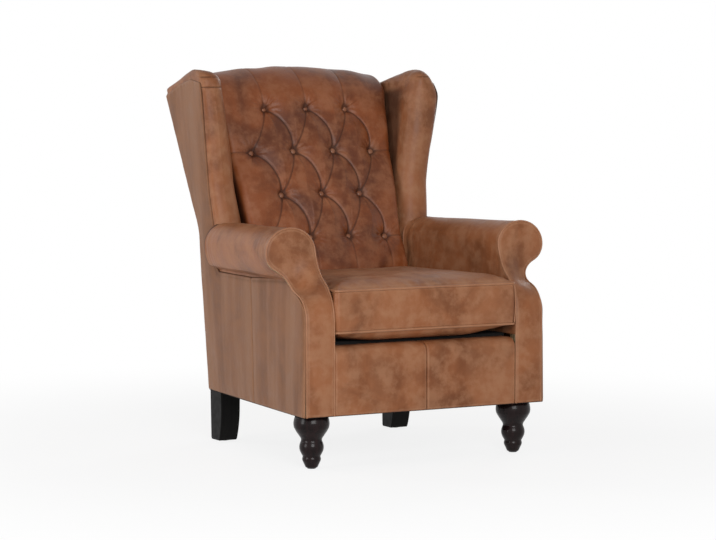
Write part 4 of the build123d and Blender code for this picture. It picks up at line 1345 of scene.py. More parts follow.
@dataclass
class SidePanels:
    """Outside of the arm and wing: two cuts of streaky leather with an upright seam."""

    wardrobe: Wardrobe
    side: Side
    seam_y: float = 355.0
    under_z: float = 498.0
    under_front_z: float = 512.0
    rear_inset: float = 2.0
    corner: float = 8.0
    # Strength of the painted shade under the roll of the arm.
    arm_dark: float = 0.55

    def place(self, points: Array) -> Array:
        """Place on the side of the body, or round its front corner, of a point of the side view.

        Args:
            points: Rows of y and z.

        Returns:
            Rows of x, y, z.
        """
        y, z = points[:, 0], points[:, 1]
        front = SWEEP.depth(z)
        turn = np.clip((self.corner - (y - front)) / self.corner, 0.0, math.pi / 2)
        round_y = front + self.corner * (1 - np.sin(turn))
        depth = np.where(turn > 0, round_y, y)
        half = SHELL.side_half(depth, z) + wing_flare(self.side, depth, z)
        return np.column_stack([half - self.corner * (1 - np.cos(turn)), depth, z])

    def front_outline(self) -> Array:
        """Side view of the front cut, in y and z.

        Returns:
            Rows of y and z.
        """
        behind_facing, past_corner = 5.0, 1.0
        heights = np.linspace(self.under_front_z, 400.0, 24)
        start = blend_value(behind_facing, self.corner * (1 - math.pi / 2) + past_corner,
                            1 - ramp(heights, start=430.0, length=40.0))
        edge = np.column_stack([SWEEP.depth(heights) + start, heights])
        return np.vstack([edge, [(start[-1], SHELL.base_z), (self.seam_y, SHELL.base_z),
                                 (self.seam_y, self.under_z)]])

    def rear_outline(self) -> Array:
        """Side view of the tall cut, from the seat rail to the top of the wing.

        Returns:
            Rows of y and z.
        """
        heights = np.linspace(SHELL.base_z, 990.0, 44)
        rear = np.column_stack([SHELL.rear_depth(heights) - self.rear_inset, heights])
        top = rounded([(872.0, 996.0, 0.0), (760.0, 1029.0, 120.0), (685.0, 1043.0, 60.0),
                       (616.0, 1034.0, 12.0), (612.0, 1000.0, 30.0), (613.0, 860.0, 90.0),
                       (615.0, 720.0, 0.0)])
        arm_end = rounded([(606.0, 652.0, 0.0), (600.0, 600.0, 30.0), (602.0, 548.0, 30.0),
                           (602.0, 515.0, 20.0), (580.0, self.under_z, 0.0)])
        return np.vstack([[(self.seam_y, SHELL.base_z)], rear, top, arm_end,
                          [(self.seam_y, self.under_z)]])

    def shade(self, cut: Cut) -> Array:
        """Painted shade on the leather under the roll of the arm, where the roll's shadow falls.

        Args:
            cut: The cut of leather.

        Returns:
            How much the painted shade darkens each point.
        """
        y, z = cut.points[:, 0], cut.points[:, 1]
        # Painted shadow: darkest just under the roll, fading downwards, ending behind the roll's
        # rear end.
        edge = np.interp(y, (60.0, self.seam_y, 600.0, 625.0),
                         (self.under_front_z - 4.0, self.under_z - 6.0, self.under_z - 4.0, 520.0))
        under_arm = (1 - ramp(y, start=605.0, length=20.0)) * (z < 530.0)
        return self.arm_dark * bell(np.maximum(edge - z, 0.0), width=9.0) * under_arm

    def build(self) -> None:
        """Make both cuts, with the seam between them."""
        word = self.side.word
        seed = 21 + self.side.value
        cuts = [("arm", Panel(Cut(self.front_outline(), spacing=11.0), self.place, 1.0, turn=5.0,
                              drop=3.0, crown=2.0, uneven=1.0, seed=seed, crease=0.8)),
                ("wing", Panel(Cut(self.rear_outline(), spacing=11.0), self.place, 1.0, turn=6.0,
                               drop=4.0, crown=2.5, uneven=1.1, seed=seed + 7))]
        for part, panel in cuts:
            self.wardrobe.make(f"outside_{part}_{word}", panel.mesh(self.shade(panel.cut)),
                               Finish.SIDE_LEATHER, [f"outside_{part}_panel_{word}"],
                               side=self.side)


@dataclass
class Wing:
    """Padded wing: flat outside, deep rolled nose and a top band with its seams."""

    wardrobe: Wardrobe
    side: Side
    inner_x: float = 315.6
    inner_y: float = 598.0
    inner_z: float = 1000.0
    plan_slope: float = 0.22
    lean: float = 0.15
    nose_turn: float = 36.0
    rear_turn: float = 14.0
    outer_turn: float = 17.0
    outer_drops: Numbers = (38.0, 38.0, 11.0, 11.0, 3.0, 3.0)
    drop_depths: Numbers = (560.0, 600.0, 650.0, 780.0, 850.0, 900.0)
    nose_y: float = 596.0
    seam_heights: Pair = (1020.0, 1049.0)
    seam_depths: Pair = (1.6, 0.9)
    seam_lengths: Pair = field(init=False)
    # Painted shade over the inner face, away from its rim.
    shade: float = 0.45

    def __post_init__(self) -> None:
        """Set how far inside the edge the seams end; the right wing's are short."""
        self.seam_lengths = (-12.0, 2.0) if self.side is Side.RIGHT else (26.0, 6.0)

    def outline(self) -> Array:
        """Side view of the whole wing in y and z.

        Returns:
            Rows of y and z.
        """
        heights = np.linspace(480.0, 1000.0, 30)
        rear = np.column_stack([SHELL.rear_depth(heights) - 3.0, heights])
        top = rounded([(877.0, 1012.0, 10.0), (800.0, 1036.0, 160.0), (735.0, 1057.0, 90.0),
                       (680.0, 1071.0, 70.0), (606.0, 1066.0, 62.0), (597.0, 900.0, 300.0),
                       (598.0, 740.0, 120.0), (582.0, 660.0, 70.0), (571.0, 600.0, 0.0)])
        return np.vstack([rear, top, [(571.0, 480.0)]])

    def back_gap(self, z: Array) -> Array:
        """Half width of the back, with the gap that the wing leaves beside it."""
        return QUILT.half(z) + 2.0

    def inner(self, y: Array, z: Array) -> Array:
        """Half distance between the wings' inner faces.

        Args:
            y: Depth of each place.
            z: Height of each place.

        Returns:
            The half distance at each place.
        """
        softness = 10.0
        plane = (self.inner_x - self.plan_slope * (y - self.inner_y)
                 + self.lean * (z - self.inner_z))
        back = self.back_gap(z)
        gap = (plane - back) / softness
        return back + softness * np.log1p(np.exp(np.clip(gap, -30, 30)))

    def band_seams(self) -> list[Array]:
        """Seams across the nose, above and below the cap, in the side view.

        Returns:
            Each seam as rows of y and z.
        """
        length, fall = 84.0, 0.001
        run = length * np.linspace(0.0, 1.0, 34)**2
        return [np.column_stack([self.nose_y + run, height - fall * run**2])
                for height in self.seam_heights]

    def mesh(self) -> Mesh:
        """The wing's padded skin, closed along its side outline.

        Returns:
            Its points, faces and wear.
        """
        cut = Cut(self.outline(), edge_rings=(0.7, 2.5, 5.5, 10.0, 17.0, 26.0),
                  seams=self.band_seams())
        y, z = cut.points[:, 0], cut.points[:, 1]
        near_y, near_z = cut.nearest[:, 0], cut.nearest[:, 1]
        outer = SHELL.side_half(y, z) + wing_flare(self.side, y, z) - 3.0
        outer_drop = np.interp(near_y, self.drop_depths, self.outer_drops)
        turn = blend_value(self.nose_turn, self.rear_turn,
                           ramp(near_y, start=640.0, length=190.0))
        turn = turn * blend_value(0.35, 1.0, ramp(near_z, start=486.0, length=60.0))
        share = np.clip(cut.distance / turn, 0, 1)
        bend = np.maximum(1 - (1 - share)**2.3, 0)**(1 / 2.0)
        inner_face = self.inner(y, z)
        seed = 31 + self.side.value
        soft = 2.0 * ripple(cut.points, size=140.0, seed=seed) * build_up(cut.distance, reach=30.0)
        folds = 0.9 * ripple(cut.points * [1.6, 0.35], size=40.0, seed=seed + 3)
        inner_x = blend_value(outer - outer_drop, inner_face - 3.0 + soft + folds, bend)
        corner = np.clip(1 - cut.distance / self.outer_turn, 0, 1)
        outer_x = outer - outer_drop * round_over(corner)
        fade = 1 - ramp(y, start=640.0, length=35.0)
        ends = [1 - ramp(cut.distance, start=length, length=10.0) for length in self.seam_lengths]
        tuck = fade * sum(depth * bell(gap, width=2.4) * end
                          for depth, gap, end in zip(self.seam_depths, cut.seam_gaps, ends))
        way_in = np.clip(1 - cut.distance / 30.0, 0.0, 1.0)
        first = np.column_stack([inner_x + tuck * (1 - way_in), y + tuck * way_in, z])
        second = np.column_stack([outer_x, y + tuck * way_in, z])
        # Painted shade in the band seams' tucks, with a faint painted highlight beside them.
        at_seam = fade * sum(end * (0.2 * bell(gap, centre=4.5, width=2.0) - bell(gap, width=1.6))
                             for gap, end in zip(cut.seam_gaps, ends))
        # Painted highlight along the nose rim, painted shade where the inner face nears the back
        # and over the inner face away from its rim.
        behind = ramp(cut.distance, start=34.0, length=30.0)
        rub = (0.15 * (1 - behind) * (near_y < 700)
               - 1.1 * bell(inner_face - self.back_gap(z), width=14.0) * behind
               - self.shade * ramp(cut.distance, start=40.0, length=60.0) + at_seam)
        return Mesh(np.vstack([first, second]), two_skins(turned_over(cut.triangles), len(y)),
                    np.concatenate([rub, at_seam]))

    def build(self) -> None:
        """Make the wing's leather over its padding."""
        word = self.side.word
        wing = self.wardrobe.make(f"wing_{word}", self.mesh(), Finish.LEATHER,
                                  [f"wing_cover_{word}", f"wing_foam_{word}"], side=self.side,
                                  weld=0.01)


@dataclass(frozen=True)
class Fold:
    """One fold of the quilting, as a bowed line in x and w."""

    start: Pair
    end: Pair
    bow: float
    depth: float = 1.0

    def line(self, steps: int = 14) -> Array:
        """Places along the fold.

        Args:
            steps: Number of places.

        Returns:
            Rows of x and w.
        """
        start, end = np.array(self.start), np.array(self.end)
        along = end - start
        across = np.array([along[1], -along[0]]) / max(np.linalg.norm(along), 1e-6)
        shares = np.linspace(0.0, 1.0, steps)
        offset = 4 * shares * (1 - shares) * self.bow
        return start + along * shares[:, None] + across * offset[:, None]


@dataclass
class QuiltedBack:
    """Deep-buttoned back: a reclined sheet with a roll over its top."""

    low_half: float = 255.0
    high_half: float = 288.0
    spread_z: float = 640.0
    kick_y: float = 500.0
    kick_z: float = 500.0
    kick_rows: tuple[int, int] = (34, 60)
    kick_rounds: int = 60
    recline: float = math.radians(22.5)
    top_z: float = 1075.0
    arch_drop: float = 27.0
    crown: float = 24.0
    rear_round: float = 35.0
    step_drop: float = 75.0
    step_way: float = 3.5
    deck_z: float = 340.0
    row_counts: tuple[int, ...] = (4, 3, 4, 3)
    row_z: Numbers = (594.0, 717.0, 840.0, 963.0)
    pitches: Numbers = (126.0, 129.0, 132.0, 135.0)
    across: int = 248
    tuft_depth: float = 22.0
    padding: float = 5.0
    bows: tuple[Pair, Pair] = ((-25.0, 1.0), (-9.0, 0.6))
    side_wall: float = 60.0
    ray_turns: Pair = (0.37, 0.21)

    def half(self, z: Array) -> Array:
        """Half width of the back at a height."""
        share = (np.asarray(z, float) - self.spread_z) / (SHELL.crest_z - self.spread_z)
        return blend_value(self.low_half, self.high_half, np.clip(share, 0, 1))

    def rise(self, z: float) -> float:
        """Distance up the reclined front from the kick to a height."""
        return (z - self.kick_z) / math.cos(self.recline)

    def buttons(self) -> list[list[Pair]]:
        """Each row's buttons in x and w, from the lowest row up."""
        return [[((k - (count - 1) / 2) * pitch, self.rise(z)) for k in range(count)]
                for count, z, pitch in zip(self.row_counts, self.row_z, self.pitches)]

    def folds(self) -> list[Fold]:
        """Every fold between buttons and out to the edges.

        Returns:
            The folds, in no special order.
        """
        rows = self.buttons()
        made = []
        for lower, upper in zip(rows, rows[1:]):
            for a in upper:
                for b in lower:
                    if abs(a[0] - b[0]) < self.pitches[-1]:
                        bow, depth = self.bows[0 if b[0] > a[0] else 1]
                        made.append(Fold(a, b, bow, depth))
        for x, w in rows[-1]:
            made.append(Fold((x * 1.05, w + 260.0), (x, w), bow=6.0, depth=0.24))
        for x, w in rows[0]:
            made.append(Fold((x, w), (x * 0.97, w - 120.0), bow=-5.0, depth=0.32))
        for row in rows:
            if len(row) == max(self.row_counts):
                x, w = row[-1]
                made.append(Fold((x, w), (x + 120.0, w + 3.0), bow=0.0, depth=0.36))
                made.append(Fold((-x - 120.0, w + 3.0), (-x, w), bow=0.0, depth=0.36))
        return made

    def profile(self, share: float) -> tuple[Array, Array]:
        """Front and roll in y and z at a share of the half width, with each point's w.

        Args:
            share: Share of the half width, -1 to 1.

        Returns:
            Rows of y and z, and the w of each.
        """
        sink = self.crown * share**2
        top_z = self.top_z - self.arch_drop * share**2
        lean = self.recline
        up = np.array([math.sin(lean), math.cos(lean)])
        deep = np.array([math.cos(lean), -math.sin(lean)])
        kick = np.array([self.kick_y, self.kick_z])
        depth = ((SHELL.rear_y[2] - self.kick_y) * math.cos(lean)
                 - (SHELL.crest_z - self.kick_z) * math.sin(lean))
        radius = depth - sink - self.rear_round
        roll_rise = (top_z - radius - self.kick_z
                     + math.sin(lean) * (sink + radius)) / math.cos(lean)
        centre = kick + up * roll_rise + deep * (sink + radius)
        second = centre + up * (radius - self.rear_round)
        heights = np.linspace(self.deck_z, self.kick_z - 3.0, 46)
        rises = np.linspace(0.0, roll_rise, 190)[1:, None]
        turns = np.linspace(0.0, math.pi / 2, 62)[1:, None]
        rear_turns = np.linspace(0.0, math.pi / 2, 16)[1:, None]
        falls = np.linspace(0.0, self.step_drop - 20.0, 16)[1:, None]
        foot = np.column_stack([np.full(len(heights), self.kick_y + sink), heights])
        front = kick + up * rises + deep * sink
        roll = centre - deep * radius * np.cos(turns) + up * radius * np.sin(turns)
        rear = second + self.rear_round * (up * np.cos(rear_turns) + deep * np.sin(rear_turns))
        rear_ways = roll_rise + radius * math.pi / 2 + self.rear_round * rear_turns
        step_ways = rear_ways[-1] + self.step_way * np.arange(1, len(falls) + 1)
        ways = [heights - self.kick_z, rises, roll_rise + radius * turns, rear_ways, step_ways]
        return (np.vstack([foot, front, roll, rear, rear[-1] - up * falls]),
                np.concatenate([way.ravel() for way in ways]))

    def smoothed(self, lines: Array) -> Array:
        """Soften the bend where the back stops leaning.

        Args:
            lines: Profiles across the back, as rows of y and z.

        Returns:
            The same profiles, softened.
        """
        low, high = self.kick_rows
        softened = lines.copy()
        for _ in range(self.kick_rounds):
            softened[:, low:high] += 0.25 * (softened[:, low - 1:high - 1]
                                             + softened[:, low + 1:high + 1]
                                             - 2 * softened[:, low:high])
        return softened

    def nearest_fold(self, flat: Array) -> tuple[Array, Array, Array]:
        """Distance of each place from its nearest fold.

        Args:
            flat: Places as rows of x and w.

        Returns:
            The distance, the same with the fold's side as its sign, and the fold's depth.
        """
        best = np.full(len(flat), 1e9)
        signed = np.zeros(len(flat))
        weight = np.ones(len(flat))
        for fold in self.folds():
            line = fold.line()
            for start, end in zip(line[:-1], line[1:]):
                along = end - start
                share = np.clip(((flat - start) @ along) / (along @ along), 0, 1)
                offset = flat - start - share[:, None] * along
                gap = np.linalg.norm(offset, axis=1)
                nearer = gap < best
                best = np.where(nearer, gap, best)
                weight = np.where(nearer, fold.depth, weight)
                side = (offset[:, 1] * along[0] - offset[:, 0] * along[1]) / np.hypot(*along)
                signed = np.where(nearer, side, signed)
        return best, signed, weight

    def nearest_button(self, flat: Array) -> tuple[Array, Array]:
        """Distance of each place from its nearest button, and its angle round that button.

        Args:
            flat: Places as rows of x and w.

        Returns:
            The distances and the angles.
        """
        centres = np.array([centre for row in self.buttons() for centre in row])
        offsets = flat[:, None, :] - centres
        gaps = np.linalg.norm(offsets, axis=2)
        every, pick = np.arange(len(flat)), gaps.argmin(axis=1)
        x, w = offsets[every, pick].T
        return gaps[every, pick], np.arctan2(w, x) + centres[pick] @ self.ray_turns

    def relief(self, x: Array, w: Array) -> tuple[Array, Array]:
        """Height of the quilting, with its painted shade and painted sheen.

        Args:
            x: Place across the back.
            w: Place up the back.

        Returns:
            Height over the padding, and how much painted shade (over 0) or painted sheen (under 0)
            each place has.
        """
        flat = np.column_stack([x, w])
        best, signed, weight = self.nearest_fold(flat)
        button, angle = self.nearest_button(flat)
        low, high = self.rise(self.row_z[0]), self.rise(self.row_z[-1])
        from_below = ramp(w, start=low - 150.0, length=90.0)
        fade = from_below * (1 - ramp(w, start=high + 90.0, length=90.0))
        over_top = from_below * (1 - ramp(w, start=high + 235.0, length=25.0))
        reach = np.where(signed > 0, 14.0, 20.0)
        strength = np.where(signed > 0, 3.0, 4.2)
        puff = -strength * np.exp(-(best / reach)**1.15) * weight * fade
        broad = -8.0 * bell(best, width=46.0) * fade * np.sqrt(weight)
        crease = -2.2 * np.exp(-(best / 3.0)**1.6) * np.sqrt(weight) * over_top
        pit = -9.0 * bell(button, width=15.0) - 6.0 * bell(button, width=34.0)
        rays = 0.7 * np.cos(9 * angle) * bell(button, centre=21.0, width=11.0)
        rays += 0.6 * np.cos(15 * angle + 1.0) * bell(button, centre=30.0, width=15.0)
        # Painted shade in a thin line along each fold and round each button pit.
        one_sided = np.maximum(signed, -signed * 0.55)
        dark = (bell(one_sided, width=2.2) * np.sqrt(weight) * over_top
                + 1.5 * bell(button, width=13.5))
        # Painted highlight beside the folds and painted sheen over the middle of each pillow.
        shine = 0.3 * bell(signed, centre=5.5, width=3.0) * weight * fade * (button > 16)
        shine = shine + 0.22 * ramp(best, start=14.0, length=30.0) * fade
        return puff + broad + crease + pit + rays, np.clip(dark, 0, 1.5) - shine

    def surface(self) -> tuple[Array, Array, Array]:
        """Padded surface before buttoning: points, x and w over a grid.

        Returns:
            The points, x and w, each over rows and columns.
        """
        shares = np.linspace(-1.0, 1.0, self.across)
        lines, ways = zip(*(self.profile(share) for share in shares))
        lines = self.smoothed(np.array(lines))
        x = shares[:, None] * self.half(lines[..., 1])
        return np.dstack([x, lines[..., 0], lines[..., 1]]), x, np.array(ways)

    def mesh(self) -> Mesh:
        """The quilted leather.

        Returns:
            Its points, faces, and its painted shade and sheen.
        """
        points, x, w = self.surface()
        normals = grid_normals(points)
        height, crease = (made.reshape(x.shape)
                          for made in self.relief(x.reshape(-1), w.reshape(-1)))
        side = self.half(points[..., 2]) - np.abs(x)
        over = ramp(points[..., 2], start=960.0, length=60.0)
        width, drop = blend_value(24.0, 14.0, over), blend_value(30.0, 13.0, over)
        edge = drop * round_over(np.clip(1 - side / width, 0, 1))
        soft = 1.6 * ripple(points.reshape(-1, 3), size=120.0, seed=41).reshape(x.shape)
        points = points + normals * (height + self.padding - edge + soft)[..., None]
        walls = [points[edge_row] - normals[edge_row] * self.side_wall for edge_row in (0, -1)]
        points = np.concatenate([walls[:1], points, walls[1:]])
        # The side walls are fully in painted shade, and painted shade also runs along the sides
        # beside the wings.
        dark = np.ones((1, x.shape[1]))
        crease = np.concatenate([dark, crease + 1.1 * bell(side, width=7.0), dark])
        rows, columns = crease.shape
        return Mesh(points.reshape(-1, 3), grid_faces(rows, columns), -crease.reshape(-1))

    def seat(self, centre: Pair) -> tuple[Array, Array]:
        """Where a button sits, and the way out of the back there.

        Args:
            centre: The button's x and w.

        Returns:
            The place and the direction, in x, y, z.
        """
        lean = self.recline
        up = np.array([0.0, math.sin(lean), math.cos(lean)])
        out = np.array([0.0, -math.cos(lean), math.sin(lean)])
        sink = self.crown * (centre[0] / self.high_half)**2
        place = np.array([centre[0], self.kick_y, self.kick_z]) + up * centre[1]
        return place - out * (sink + self.tuft_depth), out


QUILT = QuiltedBack()


@dataclass
class Back:
    """Dresses the quilted back and its buttons."""

    wardrobe: Wardrobe
    button_radius: float = 8.8
    button_height: float = 7.0
    button_points: int = 28

    def button(self, centre: Pair) -> Mesh:
        """One covered button.

        Args:
            centre: Its x and w.

        Returns:
            Its points, faces, and its painted highlight and shade.
        """
        seat, out = QUILT.seat(centre)
        radius, height, count = self.button_radius, self.button_height, self.button_points
        turns = np.linspace(0, math.pi / 2, 9)
        profile = [(radius * 0.9, 0.0), (radius, height * 0.28)]
        profile += [(radius * math.cos(turn) * 0.995, height * (0.3 + 0.7 * math.sin(turn)))
                    for turn in turns[1:-1]]
        profile.append((0.3, height))
        side = np.array([1.0, 0.0, 0.0])
        other = np.cross(out, side)
        angles = np.linspace(0, 2 * math.pi, count, endpoint=False)
        rings = [seat + out * rise + radius_here * (np.cos(angles)[:, None] * side
                                                    + np.sin(angles)[:, None] * other)
                 for radius_here, rise in profile]
        points = np.vstack(rings)
        faces = grid_faces(len(rings), count, closed=True)
        faces.append(tuple(range(len(points) - count, len(points))))
        # Painted highlight on the button's dome and painted shade round its base.
        rub = np.concatenate([np.full(count, 0.7 * rise / height - 0.4) for _, rise in profile])
        return Mesh(points, faces, rub)

    def build(self) -> None:
        """Make the quilted leather and its buttons."""
        quilt = self.wardrobe.make("quilted_back", QUILT.mesh(), Finish.TUFTED,
                                   ["back_quilt", "back_foam"])
        buttons = [self.button(centre) for row in QUILT.buttons() for centre in row]
        self.wardrobe.make("covered_buttons", reduce(Mesh.joined, buttons), Finish.BUTTON,
                           ["tufting_buttons"])


@dataclass
class OutsideBack:
    """Plain leather panel over the rear of the chair."""

    wardrobe: Wardrobe
    shoulder_z: float = 926.0
    side_inset: float = 2.0
    top_half: float = 366.0
    top_z: float = 1003.0
    arch: Pair = (288.0, 44.0)

    def outline(self) -> Array:
        """Rear view in x and z.

        Returns:
            Rows of x and z.
        """
        heights = np.linspace(SHELL.base_z, self.shoulder_z, 26)
        half = SHELL.side_half(SHELL.rear_depth(heights), heights) - self.side_inset
        right = np.column_stack([half, heights])
        across = np.linspace(self.top_half, -self.top_half, 46)
        width, rise = self.arch
        radius = (width**2 + rise**2) / (2 * rise)
        top = np.column_stack([across, self.top_z - radius + np.sqrt(radius**2 - across**2)])
        return np.vstack([right, top, right[::-1] * [-1.0, 1.0]])

    def place(self, points: Array) -> Array:
        """Place on the rear of the body of a point of the rear view."""
        x, z = points[:, 0], points[:, 1]
        return np.column_stack([x, SHELL.rear_depth(z), z])

    def build(self) -> None:
        """Make the panel."""
        panel = Panel(Cut(self.outline(), spacing=13.0), self.place, -1.0, turn=7.0, drop=5.0,
                      crown=3.5, uneven=1.2, seed=61)
        self.wardrobe.make("outside_back", panel.mesh(), Finish.SIDE_LEATHER,
                           ["outside_back_panel"])


@dataclass
class FrontBorder:
    """Leather border under the cushion, in two halves with a seam between them."""

    wardrobe: Wardrobe
    half: float = 284.5
    top_z: float = 330.0
    roll: float = 26.0
    depth: float = 66.0

    def place(self, points: Array) -> Array:
        """Place on the border of a point given by x and the way up and over it.

        Args:
            points: Rows of x and way.

        Returns:
            Rows of x, y, z.
        """
        x, way = points[:, 0], points[:, 1]
        flat = self.top_z - self.roll
        arc = self.roll * math.pi / 2
        turn = np.clip((way - flat) / self.roll, 0, math.pi / 2)
        beyond = np.maximum(way - flat - arc, 0.0)
        y = self.roll * (1 - np.cos(turn)) + beyond
        z = np.where(way < flat, way, flat + self.roll * np.sin(turn))
        return np.column_stack([x, y, z])

    def build(self) -> None:
        """Make both halves."""
        end = self.top_z - self.roll + self.roll * math.pi / 2 + self.depth - self.roll
        halves = []
        for number, (low, high) in enumerate(((-self.half, 0.0), (0.0, self.half))):
            outline = np.array([(low, SHELL.base_z), (high, SHELL.base_z), (high, end),
                                (low, end)])
            panel = Panel(Cut(outline, spacing=10.0), self.place, 1.0, turn=5.0, drop=3.6,
                          crown=4.0, crown_reach=40.0, uneven=1.0, seed=71 + number,
                          crease=0.6)
            halves.append(panel.mesh())
        piece = self.wardrobe.make("front_border", reduce(Mesh.joined, halves), Finish.LEATHER,
                                   ["front_border_cover", "front_border_pad"])


@dataclass
class Cushion:
    """Loose seat cushion: crowned panels, boxing and two rows of piping."""

    wardrobe: Wardrobe
    front_half: float = 281.5
    rear_half: float = 251.0
    front_y: float = -2.0
    rear_y: float = 488.0
    low_z: float = 369.0
    high_z: float = 481.0
    deck_z: float = 338.4
    crown: float = 33.0
    corner: float = 9.0
    draw_in: float = 6.0
    bulge: float = 5.0
    panel_inset: float = 1.5
    piping_radius: float = 3.4
    welt_radius: float = 2.2

    def sharp_outline(self, grow: float) -> Array:
        """Plan with sharp corners and its sides drawn in between them.

        Args:
            grow: How far outside the seam it runs.

        Returns:
            Rows of x and y.
        """
        front, rear = self.front_y - grow, self.rear_y + grow
        wide, narrow = self.front_half + grow, self.rear_half + grow
        share = np.linspace(-1, 1, 21)[:-1]
        front_edge = np.column_stack([wide * share, front + self.draw_in * (1 - share**2)])
        share = np.linspace(0, 1, 21)
        x = blend_value(wide, narrow, share) - self.draw_in * 4 * share * (1 - share)
        side_edge = np.column_stack([x, blend_value(front, rear, share)])
        rear_edge = [(narrow * share, rear) for share in np.linspace(1, -1, 13)[:-1]]
        return np.vstack([front_edge, side_edge[:-1], rear_edge, side_edge[:0:-1] * [-1, 1]])

    def outline(self, grow: float = 0.0) -> Array:
        """Plan of the cushion in x and y, with rounded corners.

        Args:
            grow: How far outside the seam it runs.

        Returns:
            Rows of x and y.
        """
        front, rear = self.front_y - grow, self.rear_y + grow
        wide, narrow = self.front_half + grow, self.rear_half + grow
        spots = ((wide, front), (narrow, rear), (-narrow, rear), (-wide, front))
        corner = self.corner + grow
        handle = corner * 0.58
        line = spread(self.sharp_outline(grow), 3.0)
        keep = np.array([point for point in line
                         if all(np.hypot(*(point - spot)) > corner for spot in spots)])
        made = []
        neighbours = zip(np.roll(keep, 1, axis=0), keep, np.roll(keep, -1, axis=0),
                         np.roll(keep, -2, axis=0))
        for back, here, there, ahead in neighbours:
            made.append(here)
            if np.hypot(*(there - here)) > self.corner * 0.7:
                first = here + (here - back) / np.hypot(*(here - back)) * handle
                second = there + (there - ahead) / np.hypot(*(there - ahead)) * handle
                for share in np.linspace(0, 1, 10)[1:-1]:
                    made.append((1 - share)**3 * here + 3 * share * (1 - share)**2 * first
                                + 3 * share**2 * (1 - share) * second + share**3 * there)
        return np.array(made)

    def top(self) -> Mesh:
        """Crowned top panel.

        Returns:
            Its points, faces, and its wear and painted light.
        """
        cut = Cut(self.outline(-self.panel_inset))
        distance = cut.distance
        to_rear = np.clip(cut.points[:, 1] / self.rear_y, 0, 1)
        rise = self.crown * build_up(distance, reach=36.0)
        rise *= blend_value(1.0, 0.82, to_rear)
        pucker = 1.3 * ripple(cut.points, size=34.0, seed=83)
        pucker = pucker * bell(distance, centre=16.0, width=15.0)
        soft = 2.2 * ripple(cut.points, size=190.0, seed=84) * build_up(distance, reach=60.0)
        z = self.high_z + (rise + pucker + soft)
        # A lighter rim inside the piping, part wear and part painted highlight, and painted shade
        # along the seam.
        rub = 0.5 * bell(distance, centre=8.0, width=8.0) - bell(distance, width=2.0)
        return Mesh(np.column_stack([cut.points, z]), cut.triangles, rub)

    def belly(self) -> Mesh:
        """Underside, flat where it rests on the deck and drawn up at its front corners.

        Returns:
            Its points, faces, and its painted shade along the seam, slightly lighter elsewhere.
        """
        right_lift, left_lift = 0.75, 0.5
        cut = Cut(self.outline(-self.panel_inset), spacing=11.0)
        distance = cut.distance
        near_front = 1 - ramp(cut.points[:, 1], start=40.0, length=90.0)
        aside = cut.points[:, 0] / self.front_half
        draw_up = near_front * np.where(aside > 0, right_lift, left_lift)
        draw_up = draw_up * ramp(abs(aside), start=0.45, length=0.6)
        depth = self.low_z - self.deck_z
        fall = depth * build_up(distance, reach=17.0) * 1.03 * (1 - draw_up)
        pucker = ripple(cut.points, size=40.0, seed=87) * bell(distance, centre=12.0, width=12.0)
        z = np.maximum(self.low_z - fall - pucker, self.deck_z)
        # Slightly lighter all over, with painted shade along the seam.
        rub = 0.2 - bell(distance, width=2.0)
        return Mesh(np.column_stack([cut.points, z]), turned_over(cut.triangles), rub)

    def boxing(self) -> Mesh:
        """Bulging band between the two rows of piping.

        Returns:
            Its points, faces, and its wear and painted light.
        """
        seam_turn, seam_drop = 4.0, 3.2
        ring = spread(self.outline(), 5.0)
        along = np.roll(ring, -1, axis=0) - np.roll(ring, 1, axis=0)
        along /= np.linalg.norm(along, axis=1)[:, None]
        outward = np.column_stack([along[:, 1], -along[:, 0]])
        rows, wear_and_painted_light_rows = [], []
        for share in (0.0, 0.012, 0.04, *np.linspace(0.08, 0.92, 15), 0.96, 0.988, 1.0):
            z = blend_value(self.low_z, self.high_z, share)
            edge = min(share, 1 - share) * (self.high_z - self.low_z)
            turn = max(0.0, 1 - edge / seam_turn)
            push = self.bulge * 4 * share * (1 - share) - seam_drop * round_over(turn)
            spots = np.column_stack([ring, np.full(len(ring), z)])
            crinkle = 1.1 * ripple(spots * [1.0, 1.0, 0.22], size=42.0, seed=91)
            crinkle = crinkle * bell(edge, centre=14.0, width=22.0)
            crinkle += 0.9 * ripple(spots, size=120.0, seed=92)
            flat = ring + outward * (push - 1.0 + crinkle * min(1.0, edge / 6.0))[:, None]
            rows.append(np.column_stack([flat, spots[:, 2]]))
            # A lighter band beside each seam, part wear and part painted highlight, and painted
            # shade in the seam.
            wear_and_painted_light_rows.append(np.full(len(ring), 0.5 * bell(edge, centre=5.0, width=4.0)
                                - bell(edge, width=1.8)))
        return Mesh(np.vstack(rows), grid_faces(len(rows), len(ring), closed=True),
                    np.concatenate(wear_and_painted_light_rows))

    def piping(self, z: float) -> Mesh:
        """Piping round one seam."""
        ring = spread(self.outline(0.6), 5.0)
        return tube(np.column_stack([ring, np.full(len(ring), z)]), self.piping_radius, closed=True)

    def corner_welt(self) -> Mesh:
        """Upright welt where the boxing is joined at the right front corner.

        Returns:
            The cord's mesh.
        """
        heights = np.linspace(self.low_z + 3.0, self.high_z - 3.0, 24)
        push = 3.0 * np.sin(np.pi * (heights - self.low_z) / (self.high_z - self.low_z))
        return tube(np.column_stack([self.front_half - 2.5 + push, self.front_y + 1.0 - push * 0.4,
                                     heights]), self.welt_radius)

